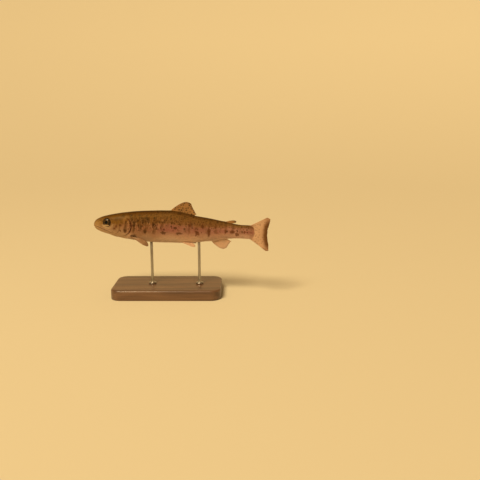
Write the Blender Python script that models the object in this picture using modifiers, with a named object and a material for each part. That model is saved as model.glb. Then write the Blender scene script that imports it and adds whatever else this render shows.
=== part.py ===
"""A rainbow trout, life size, held still on a plain display stand.

The fish faces -X with its left side towards -Y. Its body is one loft, parted by thin cuts into head,
jaw, gill covers, trunk and tail stalk. Body places are given as shares of the standard length, the
distance from the snout to the end of the flesh: s runs from the snout to the tail, h is the height
over the body's axis and w the distance from the middle plane. The origin is under the stand's middle.
"""

import math

import bmesh
import bpy
import numpy as np

# Driving sizes, in metres and degrees
STANDARD_LENGTH = 0.216
AXIS_HEIGHT = 0.094  # of the body's axis over the floor, at the pivot
PIVOT = 0.46  # the station that stands over the middle of the base
NOSE_UP = math.radians(2.6)
GAP = 0.0003  # kept between pieces that touch

# The swimming bend: the heading stays straight to BEND_START, and turns to the left from there
BEND_START = 0.42
BEND_GROWTH = 1.6  # above 1 the turn gathers towards the tail
TAIL_HEADING = math.radians(13)  # at the end of the flesh
FIN_CURL = math.radians(175)  # further turn per standard length, along the tail fin

# Stations of the loft: s, height of the back, depth of the belly, half width, and how full the upper
# and lower halves of the section are (2 is an ellipse, less is a keel, more is a rounded box)
STATIONS = (
    (0.000, 0.000, 0.000, 0.000, 2.1, 2.0),  # snout
    (0.010, 0.0255, 0.0245, 0.0235, 2.2, 2.0),  # lips
    (0.040, 0.0455, 0.0440, 0.0355, 2.3, 1.95),  # nostrils
    (0.090, 0.0625, 0.0595, 0.0455, 2.35, 1.85),  # eyes
    (0.160, 0.0785, 0.0765, 0.0560, 2.2, 1.8),  # cheeks
    (0.250, 0.0935, 0.0910, 0.0600, 2.1, 1.9),  # gill openings
    (0.360, 0.1035, 0.0995, 0.0615, 2.05, 2.05),
    (0.490, 0.1075, 0.0985, 0.0600, 2.0, 2.1),  # start of the dorsal fin
    (0.640, 0.0940, 0.0905, 0.0510, 2.0, 2.05),
    (0.745, 0.0725, 0.0735, 0.0400, 2.0, 2.0),  # vent
    (0.840, 0.0555, 0.0550, 0.0300, 2.0, 2.0),
    (0.925, 0.0445, 0.0450, 0.0205, 2.0, 2.0),  # narrowest
    (1.000, 0.0460, 0.0430, 0.0105, 2.0, 2.0),  # root of the tail fin
    (1.030, 0.0420, 0.0390, 0.0045, 2.0, 2.0),
)
RINGS = 38
RING_POINTS = 24
BODY_SPAN = (0.002, STATIONS[-1][0])  # from the first ring, which the snout's pole closes, to the last
CORE_SPAN = (0.026, 0.400)  # of the shrunken body behind the head's plates
CUT_HEIGHT = 0.130  # over and under the axis, where the cuts across the body begin
CUT_WIDTH = 0.200  # to each side of the middle plane
CURVE_STEPS = 27  # points along a curved cut

EYE = {"s": 0.090, "h": 0.020, "w": 0.0350, "radius": 0.0290, "thickness": 0.0145}
EYE_TOE_IN = math.radians(11)
EYE_TILT = math.radians(11)

# Side outlines of the head's pieces, as (s, h)
GILL_EDGE = ((0.150, 0.200), (0.178, 0.075), (0.205, 0.046), (0.228, 0.028), (0.240, 0.000),
             (0.236, -0.030), (0.216, -0.058), (0.180, -0.080), (0.140, -0.200))
GILL_COVER = ((0.168, 0.030), (0.200, 0.044), (0.270, 0.046), (0.290, -0.010), (0.260, -0.075),
              (0.190, -0.068), (0.155, -0.052), (0.143, -0.022), (0.150, 0.010))
MAXILLA = ((0.030, -0.0050), (0.058, -0.0110), (0.088, -0.0205), (0.114, -0.0310), (0.127, -0.0420),
           (0.119, -0.0500), (0.094, -0.0410), (0.062, -0.0265), (0.034, -0.0160))
MOUTH_LINE = ((-0.050, -0.0050), (0.020, -0.0085), (0.060, -0.0215), (0.098, -0.0360),
              (0.126, -0.0460), (0.138, -0.0700), (0.142, -0.200))
GILL_PLATE = 0.0030  # thickness of a gill cover
MAXILLA_PLATE = 0.0021
PLATE_SPAN = (0.006, 0.100)  # distances from the middle plane between which a plate lies
TRUNK_JOIN = 0.475
STALK_JOIN = 0.745

# Fins. A ray starts on the base line and leans from "along" (towards the tail) to "out" (off the
# body) by the lean angle; its length is "longest" times the profile value. Sizes are shares of the
# standard length, thicknesses are in metres.
MEDIAN_FINS = {
    "fin_dorsal": {
        "base": ((0.478, 0.098), (0.620, 0.087)), "lean": (54, 20), "longest": 0.103,
        "profile": (0.22, 0.56, 0.84, 0.97, 1.00, 0.98, 0.90, 0.80, 0.70, 0.60, 0.50, 0.41, 0.32),
        "thickness": 0.0018,
    },
    "fin_adipose": {
        "base": ((0.826, 0.050), (0.858, 0.044)), "lean": (30, 14), "longest": 0.058,
        "profile": (0.30, 0.62, 0.86, 0.98, 1.00, 0.93, 0.72),
        "thickness": 0.0022,
    },
    "fin_anal": {
        "base": ((0.742, -0.064), (0.836, -0.048)), "lean": (-50, -24), "longest": 0.088,
        "profile": (0.40, 0.80, 0.97, 1.00, 0.95, 0.85, 0.75, 0.66, 0.58, 0.52),
        "thickness": 0.0017,
    },
    "fin_caudal": {
        "base": ((0.985, 0.0390), (0.985, -0.0365)), "lean": (30, -30), "longest": 0.155,
        "profile": (0.88, 1.00, 0.985, 0.94, 0.895, 0.86, 0.835, 0.82, 0.815,
                    0.82, 0.835, 0.86, 0.895, 0.94, 0.985, 1.00, 0.88),
        "thickness": 0.0024,
    },
}
PAIRED_FINS = {
    "fin_pectoral": {
        "base": ((0.229, 0.037, -0.058), (0.251, 0.028, -0.065)), "along": (0.95, 0.24, -0.16),
        "out": (0.10, 0.78, -0.62), "lean": (18, -6), "longest": 0.140, "cup": -0.08,
        "profile": (0.80, 0.97, 1.00, 0.97, 0.91, 0.84, 0.76, 0.67, 0.58, 0.48),
        "thickness": 0.0016,
    },
    "fin_pelvic": {
        "base": ((0.541, 0.024, -0.080), (0.565, 0.014, -0.083)), "along": (0.97, 0.16, -0.07),
        "out": (0.05, 0.70, -0.70), "lean": (16, -2), "longest": 0.108, "cup": -0.05,
        "profile": (0.84, 0.98, 1.00, 0.96, 0.89, 0.80, 0.70, 0.60),
        "thickness": 0.0014,
    },
}
FIN_EDGE = 0.0006  # thickness at a fin's free edge
FIN_THINNING = 1.4  # above 1 the thickness goes sooner along a ray
FIN_STEPS = 6  # points along a ray
FIN_EXTRA_RAYS = 4  # beyond one for each value of the profile

# The stand, in metres
BASE_SIZE = (0.150, 0.076, 0.014)
BASE_CORNER = 0.014
BASE_ROUND = 0.0022  # of the upper edge
ROD_STATIONS = {"stand_rod_front": 0.365, "stand_rod_rear": 0.670}
ROD_RADIUS = 0.0019
COLLAR_RADIUS = 0.0026  # where the rod widens into its flange
FLANGE_RADIUS = 0.0052
FLANGE_HEIGHT = 0.0016
FLANGE_EDGE = 0.0004
SOCKET_DEPTH = 0.006  # of a rod in the body
SOCKET_CLEARANCE = 0.020  # how far the socket's cutter reaches out under the belly

COLOURS = {
    "skin": ((0.24, 0.14, 0.055), 0.38, 0.0),
    "gill_cover": ((0.36, 0.21, 0.11), 0.30, 0.1),
    "fin": ((0.42, 0.24, 0.12), 0.45, 0.0),
    "eye": ((0.03, 0.02, 0.012), 0.08, 0.0),
    "stand_wood": ((0.055, 0.032, 0.020), 0.40, 0.0),
    "stand_metal": ((0.62, 0.60, 0.57), 0.28, 1.0),
}


def make_material(name):
    colour, roughness, metallic = COLOURS[name]
    material = bpy.data.materials.new(name)
    material.use_nodes = True
    shader = material.node_tree.nodes["Principled BSDF"]
    shader.inputs["Base Color"].default_value = (*colour, 1.0)
    shader.inputs["Roughness"].default_value = roughness
    shader.inputs["Metallic"].default_value = metallic
    return material


def through(xs, ys, at):
    """A smooth curve through the points (xs, ys), read at the given places: cubic pieces whose slopes
    at each point average those of the chords beside it."""
    xs, ys = np.asarray(xs, float), np.asarray(ys, float)
    at = np.clip(at, xs[0], xs[-1])
    chords = np.diff(ys) / np.diff(xs)
    slopes = np.concatenate([chords[:1], (chords[1:] + chords[:-1]) / 2, chords[-1:]])
    i = np.clip(np.searchsorted(xs, at, side="right") - 1, 0, len(xs) - 2)
    step = xs[i + 1] - xs[i]
    t = (at - xs[i]) / step
    return (ys[i] * (1 + 2 * t) * (1 - t) ** 2 + ys[i + 1] * t**2 * (3 - 2 * t)
            + step * (slopes[i] * t * (1 - t) ** 2 - slopes[i + 1] * t**2 * (1 - t)))


def body_sizes(s):
    """Back, belly, half width and the two fullnesses at s. They are read against the square root of s,
    which rounds the snout."""
    table = np.array(STATIONS)
    root = np.sqrt(np.clip(s, 0.0, None))
    return [through(np.sqrt(table[:, 0]), table[:, k], root) for k in range(1, 6)]


SPINE_S = np.linspace(-0.1, 1.3, 561)
SPINE_BEND = np.clip((SPINE_S - BEND_START) / (1 - BEND_START), 0, 1) ** BEND_GROWTH
SPINE_HEADING = TAIL_HEADING * SPINE_BEND + FIN_CURL * np.clip(SPINE_S - 1, 0, None)


def spine(s):
    """Centre line (x, y) and heading at s, from the heading summed along the body."""
    step = SPINE_S[1] - SPINE_S[0]
    x = np.cumsum(np.cos(SPINE_HEADING)) * step
    y = -np.cumsum(np.sin(SPINE_HEADING)) * step
    x = x - np.interp(0.0, SPINE_S, x)
    return np.interp(s, SPINE_S, x), np.interp(s, SPINE_S, y), np.interp(s, SPINE_S, SPINE_HEADING)


def place(s, w, h):
    """Body places (s, w, h) as points of the fish's own frame, in metres, following the bend."""
    x, y, heading = spine(s)
    points = np.stack([x + w * np.sin(heading), y + w * np.cos(heading), h + 0 * x], axis=-1)
    return points * STANDARD_LENGTH


def section(s, angles, outset=0.0):
    """Points (w, h) round the body's section at s. outset, in metres, grows or shrinks it."""
    back, belly, half_width, upper, lower = body_sizes(s)
    grow = outset / STANDARD_LENGTH
    up = np.sin(angles) >= 0
    height = np.where(up, back, belly) + grow
    power = 2.0 / np.where(up, upper, lower)
    w = (half_width + grow) * np.sign(np.cos(angles)) * np.abs(np.cos(angles)) ** power
    h = height * np.sign(np.sin(angles)) * np.abs(np.sin(angles)) ** power
    return w, h


def mesh_object(name, vertices, faces, collection, smooth=True):
    mesh = bpy.data.meshes.new(name)
    mesh.from_pydata([tuple(map(float, v)) for v in vertices], [], faces)
    work = bmesh.new()
    work.from_mesh(mesh)
    bmesh.ops.recalc_face_normals(work, faces=work.faces)
    work.to_mesh(mesh)
    work.free()
    if smooth:
        mesh.shade_smooth()
    obj = bpy.data.objects.new(name, mesh)
    collection.objects.link(obj)
    return obj


def body_loft(name, collection, outset=0.0, span=BODY_SPAN):
    """The body over a span of s as one closed loft, with a pole at each end."""
    reach = max(outset, 0) / STANDARD_LENGTH
    s = np.linspace(math.sqrt(span[0]), math.sqrt(span[1]), RINGS) ** 2
    angles = np.linspace(0, 2 * math.pi, RING_POINTS, endpoint=False)
    w, h = section(s[:, None], angles[None, :], outset)
    rings = place(s[:, None] + 0 * w, w, h)
    snout = s[0] if outset < 0 else -reach
    poles = [place(np.float64(snout), 0.0, 0.0), place(np.float64(s[-1] + reach), 0.0, 0.0)]
    vertices = [*rings.reshape(-1, 3), *poles]
    faces = []
    for i in range(RINGS - 1):
        for j in range(RING_POINTS):
            k = (j + 1) % RING_POINTS
            faces.append((i * RING_POINTS + j, i * RING_POINTS + k,
                          (i + 1) * RING_POINTS + k, (i + 1) * RING_POINTS + j))
    last = (RINGS - 1) * RING_POINTS
    for j in range(RING_POINTS):
        k = (j + 1) % RING_POINTS
        faces.append((len(vertices) - 2, k, j))
        faces.append((len(vertices) - 1, last + j, last + k))
    return mesh_object(name, vertices, faces, collection)


def closed_curve(points, steps=3):
    """A smooth closed outline through the points, as Catmull-Rom pieces of the given number of steps."""
    p = np.array(points)
    before, after, beyond = np.roll(p, 1, 0), np.roll(p, -1, 0), np.roll(p, -2, 0)
    t = (np.arange(steps) / steps)[None, :, None]
    a, b, c, d = (q[:, None, :] for q in (before, p, after, beyond))
    curve = 0.5 * (2 * b + (c - a) * t + (2 * a - 5 * b + 4 * c - d) * t**2
                   + (3 * b - a - 3 * c + d) * t**3)
    return curve.reshape(-1, 2)


def grown(outline, by):
    """The outline moved outwards by a distance in metres."""
    ahead = np.roll(outline, -1, 0) - np.roll(outline, 1, 0)
    normals = np.stack([ahead[:, 1], -ahead[:, 0]], -1) / np.linalg.norm(ahead, axis=1)[:, None]
    area = np.sum(outline[:, 0] * np.roll(outline[:, 1], -1) - np.roll(outline[:, 0], -1) * outline[:, 1])
    return outline + normals * np.sign(area) * by / STANDARD_LENGTH


def prism(name, outline, cutters, low=-CUT_WIDTH, high=CUT_WIDTH):
    """A cutter with a side outline (s, h), from w = low to w = high."""
    count = len(outline)
    flat = np.array(outline) * STANDARD_LENGTH
    vertices = [(x, w * STANDARD_LENGTH, z) for w in (low, high) for x, z in flat]
    faces = [tuple(range(count)), tuple(range(count, 2 * count))]
    faces += [(j, (j + 1) % count, count + (j + 1) % count, count + j) for j in range(count)]
    return mesh_object(name, vertices, faces, cutters, smooth=False)


def boolean(obj, operation, other):
    modifier = obj.modifiers.new(f"{operation.lower()} {other.name}", "BOOLEAN")
    modifier.operation = operation
    modifier.object = other
    modifier.solver = "EXACT"
    return modifier


def flesh(name, region, parts, materials, material="skin"):
    """A piece of the body: the whole loft, kept inside a region."""
    obj = body_loft(name, parts)
    obj.data.materials.append(materials[material])
    boolean(obj, "INTERSECT", region)
    return obj


def plate_region(name, outline, side, thickness, cutters, grow=0.0):
    """The space of a thin plate at the body's surface: a side outline, less the body that is left when
    the plate's thickness is taken off it."""
    low, high = sorted(side * reach for reach in PLATE_SPAN)
    region = prism(name, grown(outline, grow), cutters, low, high)
    boolean(region, "DIFFERENCE", body_loft(name + "_core", cutters, -thickness - grow, CORE_SPAN))
    return region


def spheroid(name, side, grow, collection):
    """An eye: a flattened ball, turned to face along the head's surface normal."""
    bpy.ops.mesh.primitive_uv_sphere_add(segments=20, ring_count=10, radius=1.0)
    obj = bpy.context.object
    obj.name = obj.data.name = name
    radius = EYE["radius"] * STANDARD_LENGTH + grow
    thickness = EYE["thickness"] * STANDARD_LENGTH + grow
    obj.scale = (radius, radius, thickness)
    bpy.ops.object.transform_apply(location=False, rotation=False, scale=True)
    obj.location = np.array([EYE["s"], side * EYE["w"], EYE["h"]]) * STANDARD_LENGTH
    obj.rotation_euler = (-side * (math.pi / 2 - EYE_TILT), 0, side * EYE_TOE_IN)
    obj.data.shade_smooth()
    for old in list(obj.users_collection):
        old.objects.unlink(obj)
    collection.objects.link(obj)
    return obj


def fin_blade(name, points, thickness, parts, cutter, material):
    """A fin: an open grid of points [ray, step, xyz] given thickness, thick at the root and thin at the
    edge, and cut off where the body begins."""
    rays, steps = points.shape[:2]
    faces = [(i * steps + j, (i + 1) * steps + j, (i + 1) * steps + j + 1, i * steps + j + 1)
             for i in range(rays - 1) for j in range(steps - 1)]
    mesh = bpy.data.meshes.new(name)
    mesh.from_pydata([tuple(map(float, p)) for p in points.reshape(-1, 3)], [], faces)
    mesh.shade_smooth()
    obj = bpy.data.objects.new(name, mesh)
    parts.objects.link(obj)
    obj.data.materials.append(material)
    weights = obj.vertex_groups.new(name="thickness")
    for j in range(steps):
        ring = [i * steps + j for i in range(rays)]
        weights.add(ring, (1 - j / (steps - 1)) ** FIN_THINNING, "REPLACE")
    solidify = obj.modifiers.new("blade", "SOLIDIFY")
    solidify.thickness = thickness
    solidify.offset = 0.0
    solidify.vertex_group = "thickness"
    solidify.thickness_vertex_group = FIN_EDGE / thickness
    boolean(obj, "DIFFERENCE", cutter).use_self = True  # the blade is thick for its short root
    return obj


def ray_grid(fin):
    """The lean, length and share along the base for each ray, and the shares along a ray. A ray begins
    a little inside the body."""
    count = len(fin["profile"]) + FIN_EXTRA_RAYS
    share = np.linspace(0, 1, count)
    lengths = fin["longest"] * through(np.linspace(0, 1, len(fin["profile"])), fin["profile"], share)
    lean = np.radians(fin["lean"][0] + (fin["lean"][1] - fin["lean"][0]) * share)
    steps = np.linspace(0.0, 1.0, FIN_STEPS)
    return share, lengths, lean, steps


def median_fin(name, fin, parts, cutter, material):
    share, lengths, lean, steps = ray_grid(fin)
    start, end = np.array(fin["base"])
    base = start + (end - start) * share[:, None]
    s = base[:, :1] + lengths[:, None] * np.cos(lean)[:, None] * steps
    h = base[:, 1:] + lengths[:, None] * np.sin(lean)[:, None] * steps
    return fin_blade(name, place(s, 0 * s, h), fin["thickness"], parts, cutter, material)


def paired_fin(name, fin, side, parts, cutter, material):
    share, lengths, lean, steps = ray_grid(fin)
    mirror = np.array([1, side, 1])
    start, end = (place(np.float64(s), side * w, h) for s, w, h in fin["base"])
    base = start + (end - start) * share[:, None]
    along = np.array(fin["along"]) / np.linalg.norm(fin["along"])
    out = np.array(fin["out"]) - along * np.dot(fin["out"], along)
    out = out / np.linalg.norm(out)
    normal = np.cross(along, out)
    rays = (np.cos(lean)[:, None] * along + np.sin(lean)[:, None] * out) * lengths[:, None]
    reach = rays[:, None, :] * steps[None, :, None]
    cup = normal * (fin["cup"] * lengths[:, None, None] * steps[None, :, None] ** 2)
    points = base[:, None, :] + (reach + cup) * mirror * STANDARD_LENGTH
    return fin_blade(name, points, fin["thickness"], parts, cutter, material)


def stand_base(parts, material):
    bpy.ops.mesh.primitive_cube_add(size=1.0, location=(0, 0, BASE_SIZE[2] / 2))
    base = bpy.context.object
    base.name = base.data.name = "stand_base"
    base.scale = BASE_SIZE
    bpy.ops.object.transform_apply(location=False, rotation=False, scale=True)
    work = bmesh.new()
    work.from_mesh(base.data)
    upright = [e for e in work.edges if abs(e.verts[0].co.z - e.verts[1].co.z) > BASE_SIZE[2] / 2]
    bmesh.ops.bevel(work, geom=upright, offset=BASE_CORNER, segments=8, affect="EDGES", profile=0.5)
    top = [e for e in work.edges if all(v.co.z > BASE_SIZE[2] * 0.49 for v in e.verts)
           and len(e.link_faces) == 2 and any(abs(f.normal.z) < 0.5 for f in e.link_faces)]
    bmesh.ops.bevel(work, geom=top, offset=BASE_ROUND, segments=3, affect="EDGES", profile=0.5)
    work.to_mesh(base.data)
    work.free()
    base.data.materials.append(material)
    for old in list(base.users_collection):
        old.objects.unlink(base)
    parts.objects.link(base)


def turned(name, profile, location, collection):
    """A solid turned about Z from a profile (radius, height), listed from top to bottom."""
    mesh = bpy.data.meshes.new(name)
    mesh.from_pydata([(r, 0.0, z) for r, z in profile], [(i, i + 1) for i in range(len(profile) - 1)], [])
    obj = bpy.data.objects.new(name, mesh)
    collection.objects.link(obj)
    obj.location = location
    screw = obj.modifiers.new("turn", "SCREW")
    screw.steps = screw.render_steps = 16
    screw.use_merge_vertices = True
    screw.merge_threshold = 0.00002
    return obj


def body_regions(cutters):
    """The spaces that part the body, as prisms with a side outline. The cut behind the head follows the
    gill openings, and the cut over the jaw follows the mouth."""
    half = GAP / STANDARD_LENGTH / 2
    heights = np.linspace(-CUT_HEIGHT, CUT_HEIGHT, CURVE_STEPS)
    edge_s, edge_h = np.array(GILL_EDGE[::-1]).T
    gill_s = through(edge_h, edge_s, heights)
    mouth = np.array(MOUTH_LINE)
    knots = np.arange(len(mouth))
    along = np.linspace(0, knots[-1], CURVE_STEPS)
    mouth_line = np.stack([through(knots, mouth[:, k], along) for k in (0, 1)], -1)
    before_snout = MOUTH_LINE[0][0]
    jaw = np.array([*mouth_line, (before_snout, MOUTH_LINE[-1][1])])
    outlines = {
        "head": [(before_snout, -CUT_HEIGHT), *zip(gill_s - half, heights), (before_snout, CUT_HEIGHT)],
        "jaw": jaw,
        "jaw_gap": grown(jaw, GAP),
        "front": [*zip(gill_s + 2 * half, heights), (TRUNK_JOIN - half, CUT_HEIGHT),
                  (TRUNK_JOIN - half, -CUT_HEIGHT)],
        "rear": box_outline(TRUNK_JOIN + half, STALK_JOIN - half),
        "stalk": box_outline(STALK_JOIN + half, SPINE_S[-1]),
    }
    return {name: prism(f"region_{name}", outline, cutters) for name, outline in outlines.items()}


def box_outline(start, end):
    return [(start, -CUT_HEIGHT), (end, -CUT_HEIGHT), (end, CUT_HEIGHT), (start, CUT_HEIGHT)]


def head_pieces(regions, parts, cutters, materials):
    """Head, lower jaw and, on each side, a gill cover, a maxilla and an eye, each let into its pocket."""
    head = flesh("head", regions["head"], parts, materials)
    jaw = flesh("lower_jaw", regions["jaw"], parts, materials)
    boolean(head, "DIFFERENCE", regions["jaw_gap"])
    gill_outline, lip_outline = closed_curve(GILL_COVER), closed_curve(MAXILLA)
    for side, word in ((-1, "left"), (1, "right")):
        gill = flesh(f"gill_cover_{word}", regions["head"], parts, materials, "gill_cover")
        boolean(gill, "INTERSECT", plate_region(f"gill_{word}", gill_outline, side, GILL_PLATE, cutters))
        gill_pocket = plate_region(f"gill_pocket_{word}", gill_outline, side, GILL_PLATE, cutters, GAP)
        boolean(head, "DIFFERENCE", gill_pocket)
        lip = plate_region(f"lip_{word}", lip_outline, side, MAXILLA_PLATE, cutters)
        flesh(f"maxilla_{word}", lip, parts, materials, "gill_cover")
        lip_pocket = plate_region(f"lip_pocket_{word}", lip_outline, side, MAXILLA_PLATE, cutters, GAP)
        boolean(head, "DIFFERENCE", lip_pocket)
        boolean(jaw, "DIFFERENCE", lip_pocket)
        spheroid(f"eye_{word}", side, 0.0, parts).data.materials.append(materials["eye"])
        boolean(head, "DIFFERENCE", spheroid(f"socket_{word}", side, GAP, cutters))


def fins(parts, cutters, material):
    body_gap = body_loft("body_gap", cutters, GAP)
    for name, fin in MEDIAN_FINS.items():
        median_fin(name, fin, parts, body_gap, material)
    for name, fin in PAIRED_FINS.items():
        for side, word in ((-1, "left"), (1, "right")):
            paired_fin(f"{name}_{word}", fin, side, parts, body_gap, material)


def hang(pieces):
    """Hangs the fish on one empty, which lifts and pitches it about the pivot."""
    trout = bpy.data.objects.new("trout", None)
    bpy.context.scene.collection.objects.link(trout)
    for obj in pieces:
        obj.parent = trout
    x, y, _ = place(np.float64(PIVOT), 0.0, 0.0)
    trout.rotation_euler = (0, NOSE_UP, 0)
    trout.location = (-x * math.cos(NOSE_UP), -y, AXIS_HEIGHT + x * math.sin(NOSE_UP))


def world_of(s, h):
    """A place on the body's middle plane as it hangs, as (x, y, z)."""
    x, y, z = place(np.float64(s), 0.0, h) - place(np.float64(PIVOT), 0.0, 0.0)
    return (x * math.cos(NOSE_UP) + z * math.sin(NOSE_UP), y,
            AXIS_HEIGHT - x * math.sin(NOSE_UP) + z * math.cos(NOSE_UP))


def stand_rod(name, piece, parts, cutters, material):
    """An upright rod with a flange on the base, and the socket that takes its tip in the body."""
    s = ROD_STATIONS[name]
    belly = float(body_sizes(np.float64(s))[1])
    x, y, z = world_of(s, -belly)
    tip = z + SOCKET_DEPTH
    foot = BASE_SIZE[2] + GAP
    top = foot + FLANGE_HEIGHT
    profile = [(0, tip), (ROD_RADIUS, tip), (ROD_RADIUS, top + FLANGE_HEIGHT), (COLLAR_RADIUS, top),
               (FLANGE_RADIUS - FLANGE_EDGE, top), (FLANGE_RADIUS, top - FLANGE_EDGE),
               (FLANGE_RADIUS, foot), (0, foot)]
    turned(name, profile, (x, y, 0), parts).data.materials.append(material)
    bore = ROD_RADIUS + GAP
    low = z - SOCKET_CLEARANCE
    socket = turned(f"socket_{name}", [(0, tip + GAP), (bore, tip + GAP), (bore, low), (0, low)],
                    (x, y, 0), cutters)
    boolean(piece, "DIFFERENCE", socket)


def main():
    for obj in list(bpy.data.objects):
        bpy.data.objects.remove(obj)
    parts = bpy.data.collections.new("rainbow_trout")
    cutters = bpy.data.collections.new("cutters")
    bpy.context.scene.collection.children.link(parts)
    bpy.context.scene.collection.children.link(cutters)
    materials = {name: make_material(name) for name in COLOURS}

    regions = body_regions(cutters)
    head_pieces(regions, parts, cutters, materials)
    front = flesh("trunk_front", regions["front"], parts, materials)
    rear = flesh("trunk_rear", regions["rear"], parts, materials)
    flesh("tail_stalk", regions["stalk"], parts, materials)
    fins(parts, cutters, materials["fin"])
    hang([*parts.objects, *cutters.objects])

    stand_base(parts, materials["stand_wood"])
    stand_rod("stand_rod_front", front, parts, cutters, materials["stand_metal"])
    stand_rod("stand_rod_rear", rear, parts, cutters, materials["stand_metal"])

    for obj in cutters.objects:
        obj.hide_render = True
        obj.display_type = "WIRE"


main()
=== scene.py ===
import math

import bpy
import numpy as np
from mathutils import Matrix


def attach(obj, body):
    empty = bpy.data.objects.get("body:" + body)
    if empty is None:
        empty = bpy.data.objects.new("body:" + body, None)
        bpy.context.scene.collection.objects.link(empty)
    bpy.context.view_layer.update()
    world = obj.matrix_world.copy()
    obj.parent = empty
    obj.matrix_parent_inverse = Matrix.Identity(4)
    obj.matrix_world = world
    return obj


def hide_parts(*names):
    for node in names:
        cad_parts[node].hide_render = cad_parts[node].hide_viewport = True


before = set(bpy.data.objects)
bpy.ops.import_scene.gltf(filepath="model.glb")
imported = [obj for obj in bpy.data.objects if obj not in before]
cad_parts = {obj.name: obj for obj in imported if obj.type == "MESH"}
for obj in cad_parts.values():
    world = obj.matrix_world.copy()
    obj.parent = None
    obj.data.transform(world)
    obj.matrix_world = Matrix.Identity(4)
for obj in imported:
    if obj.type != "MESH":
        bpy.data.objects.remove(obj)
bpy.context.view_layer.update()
print("frame loaded:", len(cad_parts), "nodes")

# Body places are shares of the standard length, from the snout to the end of the flesh: s runs
# towards the tail, w to the fish's right and h upwards from the body's axis.
body = {
    "length": 0.216,
    "axisHeight": 0.094,  # over the floor, at the pivot
    "pivot": 0.46,
    "noseUp": math.radians(2.6),
    "bendStart": 0.42,
    "bendGrowth": 1.6,
    "tailHeading": math.radians(13),
    "finCurl": math.radians(175),
    "stations": (  # s, back, belly, half width, fullness above and below
        (0.000, 0.000, 0.000, 0.000, 2.1, 2.0),
        (0.010, 0.0255, 0.0245, 0.0235, 2.2, 2.0),
        (0.040, 0.0455, 0.0440, 0.0355, 2.3, 1.95),
        (0.090, 0.0625, 0.0595, 0.0455, 2.35, 1.85),
        (0.160, 0.0785, 0.0765, 0.0560, 2.2, 1.8),
        (0.250, 0.0935, 0.0910, 0.0600, 2.1, 1.9),
        (0.360, 0.1035, 0.0995, 0.0615, 2.05, 2.05),
        (0.490, 0.1075, 0.0985, 0.0600, 2.0, 2.1),
        (0.640, 0.0835, 0.0905, 0.0510, 2.0, 2.05),
        (0.745, 0.0705, 0.0735, 0.0400, 2.0, 2.0),
        (0.840, 0.0555, 0.0550, 0.0300, 2.0, 2.0),
        (0.925, 0.0445, 0.0450, 0.0205, 2.0, 2.0),
        (1.000, 0.0460, 0.0430, 0.0105, 2.0, 2.0),
        (1.030, 0.0420, 0.0390, 0.0045, 2.0, 2.0),
    ),
}
length = body["length"]
mm = 0.001


def through(knots, at):
    # cubic pieces through the knots, whose slope at a knot is the mean of the chords beside it
    xs, ys = np.array(knots, float).T
    at = np.clip(at, xs[0], xs[-1])
    chords = np.diff(ys) / np.diff(xs)
    slopes = np.concatenate([chords[:1], (chords[1:] + chords[:-1]) / 2, chords[-1:]])
    i = np.clip(np.searchsorted(xs, at, side="right") - 1, 0, len(xs) - 2)
    gap = xs[i + 1] - xs[i]
    t = (at - xs[i]) / gap
    return (ys[i] * (1 + 2 * t) * (1 - t) ** 2 + ys[i + 1] * t**2 * (3 - 2 * t)
            + gap * (slopes[i] * t * (1 - t) ** 2 - slopes[i + 1] * t**2 * (1 - t)))


def bodySizes(s):
    # back, belly, half width and both fullnesses, read against the root of s so that the snout is round
    table = np.array(body["stations"]).T
    return [through(list(zip(np.sqrt(table[0]), row)), np.sqrt(np.clip(s, 0, None))) for row in table[1:]]


spineS = np.linspace(-0.1, 1.3, 561)  # from ahead of the snout to behind the tail fin
spineBend = np.clip((spineS - body["bendStart"]) / (1 - body["bendStart"]), 0, 1) ** body["bendGrowth"]
spineHeading = body["tailHeading"] * spineBend + body["finCurl"] * np.clip(spineS - 1, 0, None)
spineX = np.cumsum(np.cos(spineHeading)) * (spineS[1] - spineS[0])
spineY = -np.cumsum(np.sin(spineHeading)) * (spineS[1] - spineS[0])


def turnUp(v):
    # lifts the nose: a turn about Y
    c, t = math.cos(body["noseUp"]), math.sin(body["noseUp"])
    return np.stack([v[..., 0] * c + v[..., 2] * t, v[..., 1], v[..., 2] * c - v[..., 0] * t], -1)


def place(s, w, h):
    # a step w sideways from the bent centre line at s, and h up, then the nose's lift about the pivot
    heading = np.interp(s, spineS, spineHeading)
    x = np.interp(s, spineS, spineX) - np.interp(body["pivot"], spineS, spineX) + w * np.sin(heading)
    y = np.interp(s, spineS, spineY) - np.interp(body["pivot"], spineS, spineY) + w * np.cos(heading)
    points = turnUp(np.stack(np.broadcast_arrays(x, y, h + 0 * x), -1) * length)
    points[..., 2] += body["axisHeight"]
    return points


def hump(x):
    # 1 at zero, falling away to 0 on both sides: e to the power of minus x squared
    return np.exp(-np.square(x))


def rise(x):
    # 0 far below zero, 1 far above it
    return 0.5 * (1 + np.tanh(x))


def window(x, low, high, soft):
    # 1 between low and high and 0 outside, with soft ends
    return rise((x - low) / soft) * rise((high - x) / soft)


def fromLine(s, h, knots, steps=120):
    # distance of each place (s, h) to a smooth line through the knots, positive on the line's left, and
    # the share along the line of its nearest point
    at = np.linspace(0, len(knots) - 1, steps)
    line = np.stack([through(list(enumerate(row)), at) for row in np.array(knots).T], -1)
    ahead = np.gradient(line, axis=0)
    ahead /= np.linalg.norm(ahead, axis=1)[:, None]
    ds, dh = s[..., None] - line[:, 0], h[..., None] - line[:, 1]
    near = np.argmin(ds**2 + dh**2, axis=-1)
    ds, dh = (np.take_along_axis(d, near[..., None], -1)[..., 0] for d in (ds, dh))
    across = ahead[near, 0] * dh - ahead[near, 1] * ds
    beyond = (near == 0) | (near == steps - 1)
    return np.where(beyond, np.hypot(ds, dh) * np.where(across < 0, -1, 1), across), near / (steps - 1)


def newObject(name, data):
    thing = bpy.data.objects.new(name, data)
    bpy.context.scene.collection.objects.link(thing)
    return thing


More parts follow.
